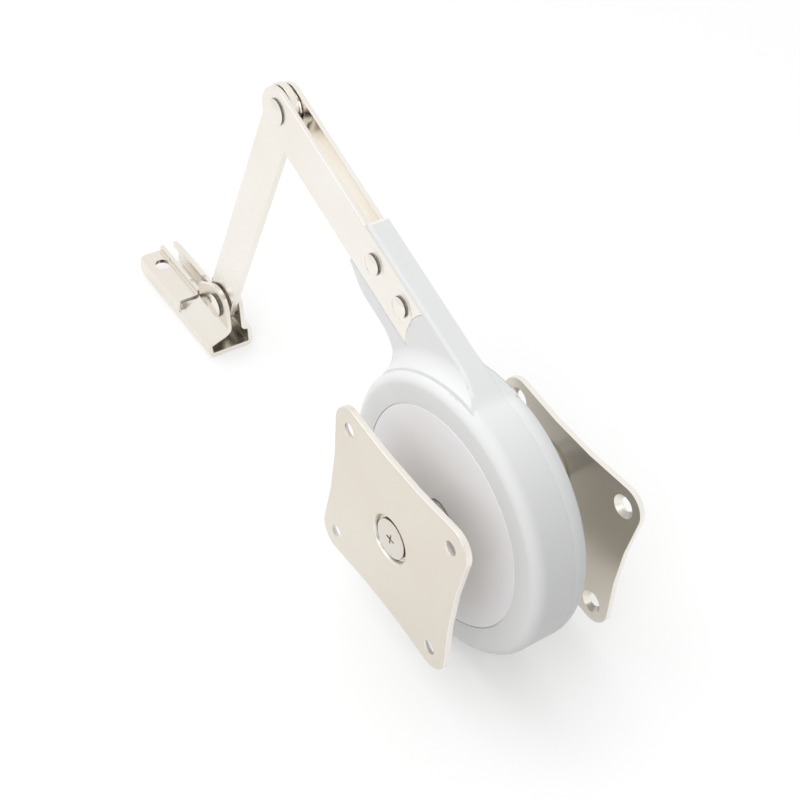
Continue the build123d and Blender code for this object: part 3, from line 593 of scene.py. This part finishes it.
def lobed_outline(bm, spacing_x, spacing_z, lobe, sag):
    """Draws a four-lobed plate: a round at each hole and a hollow side between."""
    half_x, half_z = spacing_x / 2, spacing_z / 2
    end_arc = (half_x**2 + sag**2) / (2 * sag) - lobe
    side_arc = (half_z**2 + sag**2) / (2 * sag) - lobe
    end_turn = math.asin(half_x / (end_arc + lobe))
    side_turn = math.asin(half_z / (side_arc + lobe))
    end_centre = half_z + lobe - sag + end_arc
    side_centre = half_x + lobe - sag + side_arc
    tip = start_outline(bm, half_x + lobe * math.cos(side_turn), half_z - lobe * math.sin(side_turn))
    corners = ((half_x, half_z), (-half_x, half_z), (-half_x, -half_z), (half_x, -half_z))
    hollows = (
        ((0, end_centre), end_turn), ((-side_centre, 0), side_turn),
        ((0, -end_centre), end_turn), ((side_centre, 0), side_turn))
    for corner, (centre, turn) in zip(corners, hollows):
        tip = arc_about(bm, tip, corner, math.pi / 2 + end_turn + side_turn)
        tip = arc_about(bm, tip, centre, -2 * turn)


def paint_edge_highlights(bm, thickness):
    """Gives a sheet's edges, and the walls of its holes, the second finish, a paler colour that paints a highlight
    on them.
    """
    steep, margin = 0.75, 0.05
    bm.normal_update()
    for face in bm.faces:
        depth = face.calc_center_median().z
        if abs(face.normal.z) < steep and margin < depth < thickness - margin:
            face.material_index = 1


def mounting_plate(side, outer, inward):
    """A lobed plate with countersunk holes and a dished centre for the shaft screw."""
    sizes = bpy.context.scene.lid_stay_plates
    mount = MOUNTS[f"{side}_plate_holes"]
    dims, centre = mount["dims"], Vector(mount["pos_m"])
    thickness = sizes.thickness
    bm = bmesh.new()
    lobed_outline(bm, dims["spacing_x_mm"], dims["spacing_y_mm"], sizes.lobe, sizes.sag)
    lip = 0.12
    chamfer = sizes.countersink - sizes.hole_radius
    screw = [
        (sizes.hole_radius + lip, 0), (sizes.hole_radius, lip),
        (sizes.hole_radius, thickness - chamfer), (sizes.countersink, thickness)]
    draft = sizes.dish_depth * math.tan(math.radians(20))
    dish_floor = sizes.dish_radius - draft
    boss_root = sizes.dish_radius + sizes.dish_wall
    boss_top = thickness + sizes.dish_depth
    # The small numbers round the bends of the pressed dish.
    dish = [
        (sizes.dish_radius + 0.45, 0), (sizes.dish_radius + 0.12, 0.09), (sizes.dish_radius - 0.1, 0.35),
        (dish_floor + 0.15, sizes.dish_depth - 0.3), (dish_floor - 0.3, sizes.dish_depth),
        (sizes.screw_hole, sizes.dish_depth), (sizes.screw_hole, boss_top),
        (boss_root - draft - 0.5, boss_top), (boss_root - draft, boss_top - 0.25),
        (boss_root - 0.15, thickness + 0.3), (boss_root + 0.3, thickness)]
    holes = [
        (sx * dims["spacing_x_mm"] / 2, sz * dims["spacing_y_mm"] / 2, screw)
        for sx in (1, -1) for sz in (1, -1)]
    holes.append((-centre.x / MM, -centre.z / MM, dish))
    sheet_piece(bm, 0, thickness, sizes.edge_round, sizes.burr_round, holes)
    paint_edge_highlights(bm, thickness)
    bmesh.ops.scale(bm, verts=bm.verts, vec=(1, 1, inward))
    bmesh.ops.translate(bm, verts=bm.verts, vec=(0, 0, outer))
    # The plates' edges take the pale finish as a painted highlight.
    finished(
        f"{side}_plate_pressed", bm, shaft_frame(centre), "mounting",
        FINISHES["nickel"], [f"{side}_mounting_plate"], second="pale")


class LIDSTAY_OT_plates(bpy.types.Operator):
    """Model the two mounting plates, with rolled edges, countersinks and dishes"""

    bl_idname = "lid_stay.plates"
    bl_label = "Mounting plates"

    def execute(self, context):
        mounting_plate("front", depth_of("front_mounting_plate")[0], 1)
        mounting_plate("rear", depth_of("rear_mounting_plate")[1], -1)
        return {"FINISHED"}


def cross_outline(bm, length, width):
    """Draws the outline of a cross recess and returns its edges."""
    known = set(bm.edges)
    long, short = length / 2, width / 2
    quarter = ((long, -short), (long, short), (short, short))
    points = []
    for turn in range(4):
        cosine, sine = round(math.cos(turn * math.pi / 2)), round(math.sin(turn * math.pi / 2))
        points += [(x * cosine - y * sine, x * sine + y * cosine) for x, y in quarter]
    tip = first = start_outline(bm, *points[0])
    for point in points[1:]:
        tip = line_to(bm, tip, *point)
    bm.edges.new((tip, first))
    return [edge for edge in bm.edges if edge not in known]


def ring_of(node, bore, radius, edge):
    """A ring as deep as a node, with softened edges."""
    low, high = depth_of(node)
    bm = bmesh.new()
    turned_piece(bm, [(bore, low), (radius, low), (radius, high), (bore, high)])
    soften(bm, edge)
    return bm


def shaft_screw(side, inward):
    """Low pan head with a cross recess, over a plain stem."""
    sizes = bpy.context.scene.lid_stay_fixings
    head, seat, stem, edge = sizes.screw_head, sizes.screw_height, sizes.screw_stem, 0.3
    node = f"{side}_plate_screw"
    low, high = depth_of(node)
    length = high - low
    bm = bmesh.new()
    recess = cross_outline(bm, sizes.cross_length, sizes.cross_width)
    floor = bmesh.ops.extrude_edge_only(bm, edges=recess)["geom"]
    floor_verts = [item for item in floor if isinstance(item, bmesh.types.BMVert)]
    floor_edges = [item for item in floor if isinstance(item, bmesh.types.BMEdge)]
    bmesh.ops.translate(bm, verts=floor_verts, vec=(0, 0, sizes.cross_depth))
    bmesh.ops.contextual_create(bm, geom=floor_edges)
    rim, _ = hole_wall(bm, 0, 0, [
        (head - edge, 0), (head - edge * 0.35, edge * 0.2), (head, edge),
        (head, seat - 0.15), (head - 0.15, seat), (stem, seat), (stem, length - 0.6),
        (stem - 0.5, length), (0.01, length)])
    bmesh.ops.triangle_fill(bm, use_beauty=True, edges=rim + recess, normal=(0, 0, 1))
    # Paints shade on the head's side, seen as a dark crescent.
    darken_sides(bm, head)
    bmesh.ops.scale(bm, verts=bm.verts, vec=(1, 1, inward))
    bmesh.ops.translate(bm, verts=bm.verts, vec=(0, 0, low if inward > 0 else high))
    finished(
        f"{side}_pan_screw", bm, shaft_frame(), "mounting", FINISHES["screw"], [node])


class LIDSTAY_OT_shaft_line(bpy.types.Operator):
    """Model the shaft screws and collars, and finish the shaft and the hub"""

    bl_idname = "lid_stay.shaft_line"
    bl_label = "Shaft line"

    def execute(self, context):
        sizes = context.scene.lid_stay_fixings
        shaft_screw("front", 1)
        shaft_screw("rear", -1)
        for side in ("front", "rear"):
            node = f"{side}_shaft_collar"
            bm = ring_of(node, sizes.collar_bore, sizes.collar_radius, edge=0.35)
            finished(
                f"{side}_collar_turned", bm, shaft_frame(), "mounting",
                FINISHES["turned"], [node])
        refinish("shaft", "turned")
        refinish("spring_hub", "turned")
        return {"FINISHED"}


def round_neck(bm):
    """Rounds the edges of the housing's neck, each stretch by its own width."""
    arm, neck = bpy.context.scene.lid_stay_arm, bpy.context.scene.lid_stay_neck
    slack = 0.2                 # within it, an edge counts as lying on a surface
    margin = 0.5                # beyond it, an edge is clear of the drum's rim or the arm plates
    rim = -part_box("drum_housing")[0].z / MM + margin
    middle = SHAFT.y / MM
    top = arm.offset + arm.width / 2 + neck.top_rim - slack
    under = arm.offset - arm.width / 2 - margin
    tip = arm.rivet_reach + arm.rivet_spacing + neck.tip_margin - slack
    to_arm = arm_frame().inverted() @ ROW_FRAME

    def ends_of(edge):
        """An edge's two ends in the arm's own frame."""
        return [to_arm @ vert.co for vert in edge.verts]

    def across(edge):
        """How far an edge runs from the neck's front to its rear."""
        first, second = ends_of(edge)
        return abs(first.z - second.z)

    def on_tip(edge):
        """The corner where the neck's top meets its tip."""
        return across(edge) > 5.0 and all(end.x > tip and end.y > top for end in ends_of(edge))

    def on_front(edge):
        """The front edge of the neck's straight top."""
        return all(
            end.y > top - slack and end.x > neck.front_start and end.z < middle
            for end in ends_of(edge))

    def on_rear(edge):
        """The rear edge of the neck's straight top."""
        return all(
            end.y > top - slack and end.x > neck.rear_start and end.z > middle
            for end in ends_of(edge))

    def on_belly(edge):
        """Edges of the neck's underside and tip, not those of its pockets."""
        return across(edge) < 0.01 and all(
            math.hypot(end.x, end.y) > rim and (end.y < under or end.x > tip)
            for end in ends_of(edge))

    soften(bm, neck.tip_round, segments=5, chosen=on_tip, clamped=False)
    soften(bm, neck.front_round, segments=5, angle=30.0, chosen=on_front, clamped=False)
    soften(bm, neck.rear_round, segments=3, chosen=on_rear)
    soften(bm, neck.belly_round, segments=3, chosen=on_belly)


class LIDSTAY_OT_drum(bpy.types.Operator):
    """Model the drum's housing, cover and cap, and finish what is inside"""

    bl_idname = "lid_stay.drum"
    bl_label = "Drum"

    def execute(self, context):
        housing = merged_copy("drum_housing")
        round_neck(housing)
        finished(
            "drum_housing_moulded", housing, ROW_FRAME, "arm", FINISHES["housing"],
            ["drum_housing"])
        finished(
            "drum_rear_cover_moulded", merged_copy("drum_rear_cover"), ROW_FRAME, "arm",
            FINISHES["housing"], ["drum_rear_cover"])
        finished(
            "drum_cap_moulded", merged_copy("drum_front_cap"), ROW_FRAME, "arm",
            FINISHES["cap"], ["drum_front_cap"])
        inside = {
            "cover_screws": "screw", "mainspring": "spring", "spring_anchor_pin": "turned",
            "front_bearing_bush": "bush", "rear_bearing_bush": "bush"}
        for node, finish in inside.items():
            refinish(node, finish)
        return {"FINISHED"}


def arm_outline(bm, arm, elbow_reach):
    """Draws an arm plate: round at the elbow, hollow at the heel."""
    half = arm.width / 2
    low, high = arm.offset - half, arm.offset + half
    swing = math.asin(half / arm.heel_radius)
    hollow = arm.heel - arm.heel_radius * math.cos(swing)
    tip = start_outline(bm, arm.heel, low)
    tip = line_to(bm, tip, elbow_reach, low)
    tip = arc_about(bm, tip, (elbow_reach, arm.offset), math.pi)
    tip = line_to(bm, tip, arm.heel, high)
    arc_about(bm, tip, (hollow, arm.offset), -2 * swing)


def arm_plate(name, node, outer_is_low):
    """One flat bar of the arm, dimpled round the neck rivets."""
    arm = bpy.context.scene.lid_stay_arm
    low, high = depth_of(node)
    elbow_reach = (arm_frame().inverted() @ ELBOW).x
    bm = bmesh.new()
    arm_outline(bm, arm, elbow_reach)
    dimple = [
        (arm.dimple_radius + 0.5, 0), (arm.dimple_radius, arm.dimple_depth * 0.6),
        (arm.dimple_radius - 0.6, arm.dimple_depth), (arm.rivet_hole, arm.dimple_depth),
        (arm.rivet_hole, arm.thickness)]
    inner, chamfer = high - low, 0.2
    elbow = [
        (arm.elbow_hole, 0), (arm.elbow_hole, inner), (arm.elbow_boss - chamfer, inner),
        (arm.elbow_boss, inner - chamfer), (arm.elbow_boss, arm.thickness)]
    reaches = (arm.rivet_reach, arm.rivet_reach + arm.rivet_spacing)
    holes = [(reach, arm.offset, dimple) for reach in reaches]
    holes.append((elbow_reach, arm.offset + arm.elbow_lift, elbow))
    sheet_piece(bm, 0, arm.thickness, arm.edge_round, arm.edge_round / 2, holes)
    # The inner face takes the second finish, painted lighter against the shade in the gap between the plates.
    for face in bm.faces:
        if all(vert.co.z > arm.thickness - WELD for vert in face.verts):
            face.material_index = 1
    if not outer_is_low:
        bmesh.ops.scale(bm, verts=bm.verts, vec=(1, 1, -1))
    bmesh.ops.translate(bm, verts=bm.verts, vec=(0, 0, low if outer_is_low else high))
    finished(
        name, bm, arm_frame(), "arm", FINISHES["pale"], [node], second="inner")


def riveted(name, node, centre, body, stem, head, grip, dome):
    """A two-headed rivet along the shaft's direction: domed heads over a plain stem."""
    low, high = depth_of(node)
    middle = (low + high) / 2
    face = (high - low) / 2
    sphere = (head**2 + dome**2) / (2 * dome)
    opening = math.asin(head / sphere)
    angles = [step / DOME_STEPS * opening for step in range(DOME_STEPS + 1)]
    crown = [(sphere * math.sin(angle), face - sphere * (1 - math.cos(angle))) for angle in angles]
    burr = 0.05
    upper = crown + [(head, grip + burr), (head - burr, grip), (stem, grip)]
    profile = [(radius, middle + depth) for radius, depth in upper]
    profile += [(radius, middle - depth) for radius, depth in reversed(upper)]
    bm = bmesh.new()
    turned_piece(bm, profile, closed=False)
    # Paints shade on the heads' sides, seen as dark crescents.
    darken_sides(bm, head)
    finished(name, bm, shaft_frame(centre), body, FINISHES["rivet"], [node])


class LIDSTAY_OT_arm(bpy.types.Operator):
    """Model the arm's two plates with their rivets"""

    bl_idname = "lid_stay.arm"
    bl_label = "Arm"

    def execute(self, context):
        arm, fixings = context.scene.lid_stay_arm, context.scene.lid_stay_fixings
        arm_plate("front_arm_bar", "front_arm_plate", True)
        arm_plate("rear_arm_bar", "rear_arm_plate", False)
        half = (depth_of("rear_arm_plate")[1] - depth_of("front_arm_plate")[0]) / 2
        for index, name in enumerate(("lower", "upper")):
            reach = arm.rivet_reach + index * arm.rivet_spacing
            centre = arm_frame() @ Vector((reach, arm.offset, 0))
            riveted(
                f"{name}_neck_rivet_domed", f"{name}_neck_rivet", centre, "arm", fixings.neck_stem,
                fixings.neck_head, half - arm.dimple_depth, fixings.neck_dome)
        riveted(
            "elbow_rivet_domed", "elbow_rivet", ELBOW, "arm", fixings.pivot_stem, fixings.elbow_head,
            half, fixings.elbow_dome)
        return {"FINISHED"}


class LIDSTAY_OT_link(bpy.types.Operator):
    """Model the link bar"""

    bl_idname = "lid_stay.link"
    bl_label = "Link bar"

    def execute(self, context):
        arm = context.scene.lid_stay_arm
        low, high = depth_of("link_bar")
        half, length = arm.link_width / 2, (ELBOW - PIVOT).length / MM
        bm = bmesh.new()
        middle = -arm.link_offset
        tip = start_outline(bm, 0, middle - half)
        tip = line_to(bm, tip, length, middle - half)
        tip = arc_about(bm, tip, (length, middle), math.pi)
        tip = line_to(bm, tip, 0, middle + half)
        arc_about(bm, tip, (0, middle), math.pi)
        bore = [(arm.link_hole, 0), (arm.link_hole, high - low)]
        holes = [(0, 0, bore), (length, 0, bore)]
        sheet_piece(bm, 0, high - low, arm.edge_round, arm.edge_round, holes)
        bmesh.ops.translate(bm, verts=bm.verts, vec=(0, 0, low))
        finished(
            "link_bar_pressed", bm, link_frame(), "link", FINISHES["pale_upright"],
            ["link_bar"])
        return {"FINISHED"}


def slope_nose(bm, sizes, notch):
    """Runs the nose's shoulder down from the ear to the front, beyond the relief notch."""
    low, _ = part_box("lid_bracket")
    front, base = low.y / MM, low.z / MM + sizes.base_height
    root = SHAFT.y / MM - sizes.ear_face
    half_notch = sizes.notch_width / 2
    for place in (notch - half_notch, notch + half_notch):
        bmesh.ops.bisect_plane(
            bm, geom=bm.verts[:] + bm.edges[:] + bm.faces[:], plane_co=(place, 0, 0), plane_no=RIGHT)
    for vert in bm.verts:
        share = (root - vert.co.y) / (root - front)
        if vert.co.x > notch and vert.co.z > base and share > 0:
            vert.co.z -= sizes.nose_drop * share


class LIDSTAY_OT_bracket(bpy.types.Operator):
    """Shape and soften the folded lid bracket, and model its rivet and washers"""

    bl_idname = "lid_stay.bracket"
    bl_label = "Lid bracket"

    def execute(self, context):
        sizes, fixings = context.scene.lid_stay_bracket, context.scene.lid_stay_fixings
        bm = merged_copy("lid_bracket")
        notch = PIVOT.x / MM - sizes.notch_reach
        slope_nose(bm, sizes, notch)

        def off_notch(edge):
            """Edges away from the notch beside the ear, where the sheet is too narrow to round."""
            return all(abs(vert.co.x - notch) > 1.5 for vert in edge.verts)

        soften(bm, sizes.edge_round, angle=50.0, chosen=off_notch)
        finished(
            "lid_bracket_folded", bm, ROW_FRAME, "bracket", FINISHES["bracket"],
            ["lid_bracket"])
        riveted(
            "bracket_rivet_domed", "bracket_rivet", PIVOT, "bracket", fixings.pivot_stem,
            fixings.bracket_head, sizes.ear_face, fixings.bracket_dome)
        for node in ("front_pivot_washer", "rear_pivot_washer"):
            ring = ring_of(node, fixings.washer_bore, fixings.washer_radius, edge=0.12)
            finished(
                f"{node}_turned", ring, shaft_frame(PIVOT), "bracket",
                FINISHES["screw"], [node])
        return {"FINISHED"}


def combined(nodes, links, operation, first, second):
    """A maths node between two sockets or numbers."""
    node = nodes.new("ShaderNodeMath")
    node.operation = operation
    for socket, value in zip(node.inputs, (first, second)):
        if isinstance(value, float):
            socket.default_value = value
        else:
            links.new(value, socket)
    return node.outputs[0]


def seen_share(nodes, links):
    """1 where the eye, a reflection or clear plastic looks, and 0 for light that falls on things."""
    path = nodes.new("ShaderNodeLightPath").outputs
    either = combined(nodes, links, "MAXIMUM", path["Is Camera Ray"], path["Is Glossy Ray"])
    return combined(nodes, links, "MAXIMUM", either, path["Is Transmission Ray"])


def soft_lamp(name, place, power, across):
    """A large square lamp that faces the part's middle."""
    lamp = bpy.data.lights.new(name, "AREA")
    lamp.shape = "SQUARE"
    lamp.size = across
    lamp.energy = power
    holder = bpy.data.objects.new(name, lamp)
    holder.location = place
    holder.rotation_euler = (PART_MIDDLE - holder.location).to_track_quat("-Z", "Y").to_euler()
    bpy.context.scene.collection.objects.link(holder)


class LIDSTAY_OT_studio(bpy.types.Operator):
    """Lay the pale floor and set the world, the lamps and the camera"""

    bl_idname = "lid_stay.studio"
    bl_label = "Studio"

    def execute(self, context):
        studio = context.scene.lid_stay_studio
        self.lay_floor(studio)
        self.light_world(studio)
        soft_lamp("key_lamp", (-0.15, -0.25, 0.95), studio.key, 0.9)
        soft_lamp("front_lamp", (0.55, -0.72, 0.72), studio.front, 0.8)
        self.set_camera(context, studio)
        context.scene.view_settings.view_transform = "Standard"
        return {"FINISHED"}

    def lay_floor(self, studio):
        """A wide pale sheet that keeps the part's soft shadow."""
        low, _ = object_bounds()
        bm = bmesh.new()
        bmesh.ops.create_circle(bm, cap_ends=True, segments=64, radius=FLOOR_RADIUS)
        bmesh.ops.translate(bm, verts=bm.verts, vec=(0, 0, low.z - FLOOR_GAP))
        mesh = bpy.data.meshes.new("floor")
        bm.to_mesh(mesh)
        bm.free()
        floor = bpy.data.objects.new("floor", mesh)
        bpy.context.scene.collection.objects.link(floor)
        paper = bpy.data.materials.new("pale_paper")
        paper.use_nodes = True
        nodes, links = paper.node_tree.nodes, paper.node_tree.links
        nodes.clear()
        matt = nodes.new("ShaderNodeBsdfDiffuse")
        matt.inputs["Color"].default_value = (studio.paper, studio.paper, studio.paper, 1.0)
        glow = nodes.new("ShaderNodeEmission")
        lift = combined(nodes, links, "MULTIPLY", seen_share(nodes, links), studio.floor)
        links.new(lift, glow.inputs["Strength"])
        both = nodes.new("ShaderNodeAddShader")
        links.new(matt.outputs[0], both.inputs[0])
        links.new(glow.outputs[0], both.inputs[1])
        out = nodes.new("ShaderNodeOutputMaterial")
        links.new(both.outputs[0], out.inputs["Surface"])
        mesh.materials.append(paper)
        floor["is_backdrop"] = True

    def light_world(self, studio):
        """White to the eye and, but for the dark card, in reflections.

        The light that falls on the part comes from all round and leans to one side.
        """
        world = bpy.data.worlds.new("studio_world")
        bpy.context.scene.world = world
        world.use_nodes = True
        nodes, links = world.node_tree.nodes, world.node_tree.links
        sky = next(node for node in nodes if node.type == "BACKGROUND")
        sky.inputs["Color"].default_value = (1.0, 1.0, 1.0, 1.0)
        direction = nodes.new("ShaderNodeTexCoord").outputs["Generated"]
        slope = self.along(nodes, links, direction, studio.lean)
        leaning = combined(nodes, links, "ADD", slope, studio.sky)
        falling = combined(nodes, links, "MAXIMUM", leaning, 0.0)
        card = self.card_shade(nodes, links, direction, studio)
        path = nodes.new("ShaderNodeLightPath").outputs
        shown = combined(nodes, links, "MAXIMUM", card, path["Is Camera Ray"])
        level = nodes.new("ShaderNodeMix")
        links.new(seen_share(nodes, links), level.inputs[0])
        links.new(falling, level.inputs[2])
        links.new(shown, level.inputs[3])
        links.new(level.outputs[0], sky.inputs["Strength"])

    def card_shade(self, nodes, links, direction, studio):
        """1 away from the dark card, falling softly to its own level towards its middle."""
        patch = nodes.new("ShaderNodeMapRange")
        patch.interpolation_type = "SMOOTHSTEP"
        patch.inputs["From Min"].default_value = CARD_RIM
        patch.inputs["From Max"].default_value = CARD_CORE
        patch.inputs["To Min"].default_value = 1.0
        patch.inputs["To Max"].default_value = 1.0 - studio.card
        links.new(self.along(nodes, links, direction, studio.card_side), patch.inputs["Value"])
        return patch.outputs["Result"]

    def along(self, nodes, links, direction, axis):
        """How far a direction runs along an axis."""
        product = nodes.new("ShaderNodeVectorMath")
        product.operation = "DOT_PRODUCT"
        product.inputs[1].default_value = axis
        links.new(direction, product.inputs[0])
        return product.outputs["Value"]

    def set_camera(self, context, studio):
        """The view from above the front plate, tilted a little."""
        lens = bpy.data.cameras.new("camera")
        lens.lens = studio.lens
        lens.sensor_width = 36.0
        lens.clip_start = 0.01
        camera = bpy.data.objects.new("camera", lens)
        camera.location = CAMERA_PLACE
        camera.rotation_euler = Euler([math.radians(turn) for turn in CAMERA_TURNS])
        context.scene.collection.objects.link(camera)
        context.scene.camera = camera


class LIDSTAY_PT_panel(bpy.types.Panel):
    """Sizes, colours and pieces of the lid stay"""

    bl_idname = "LIDSTAY_PT_panel"
    bl_label = "Lid Stay"
    bl_space_type = "VIEW_3D"
    bl_region_type = "UI"
    bl_category = "Lid Stay"

    def draw(self, context):
        for name, group in GROUPS:
            box = self.layout.box()
            settings = getattr(context.scene, name)
            for prop in group.bl_rna.properties:
                if prop.identifier in group.__annotations__:
                    box.prop(settings, prop.identifier)
        for operator in STEPS:
            self.layout.operator(operator.bl_idname)


GROUPS = (
    ("lid_stay_plates", LIDSTAY_PG_plates),
    ("lid_stay_arm", LIDSTAY_PG_arm),
    ("lid_stay_neck", LIDSTAY_PG_neck),
    ("lid_stay_fixings", LIDSTAY_PG_fixings),
    ("lid_stay_bracket", LIDSTAY_PG_bracket),
    ("lid_stay_finishes", LIDSTAY_PG_finishes),
    ("lid_stay_studio", LIDSTAY_PG_studio),
)
STEPS = (
    LIDSTAY_OT_finishes, LIDSTAY_OT_plates, LIDSTAY_OT_shaft_line, LIDSTAY_OT_drum,
    LIDSTAY_OT_arm, LIDSTAY_OT_link, LIDSTAY_OT_bracket, LIDSTAY_OT_studio,
)


def register():
    """Registers the groups, the operators and the panel."""
    for name, group in GROUPS:
        bpy.utils.register_class(group)
        setattr(bpy.types.Scene, name, PointerProperty(type=group))
    for operator in STEPS:
        bpy.utils.register_class(operator)
    bpy.utils.register_class(LIDSTAY_PT_panel)


def unregister():
    """Takes them out again, last first."""
    bpy.utils.unregister_class(LIDSTAY_PT_panel)
    for operator in reversed(STEPS):
        bpy.utils.unregister_class(operator)
    for name, group in reversed(GROUPS):
        delattr(bpy.types.Scene, name)
        bpy.utils.unregister_class(group)


def main():
    register()
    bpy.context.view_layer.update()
    bpy.ops.lid_stay.finishes()
    bpy.ops.lid_stay.plates()
    bpy.ops.lid_stay.shaft_line()
    bpy.ops.lid_stay.drum()
    bpy.ops.lid_stay.arm()
    bpy.ops.lid_stay.link()
    bpy.ops.lid_stay.bracket()
    bpy.ops.lid_stay.studio()
    bpy.context.view_layer.update()


if __name__ == "__main__":
    main()
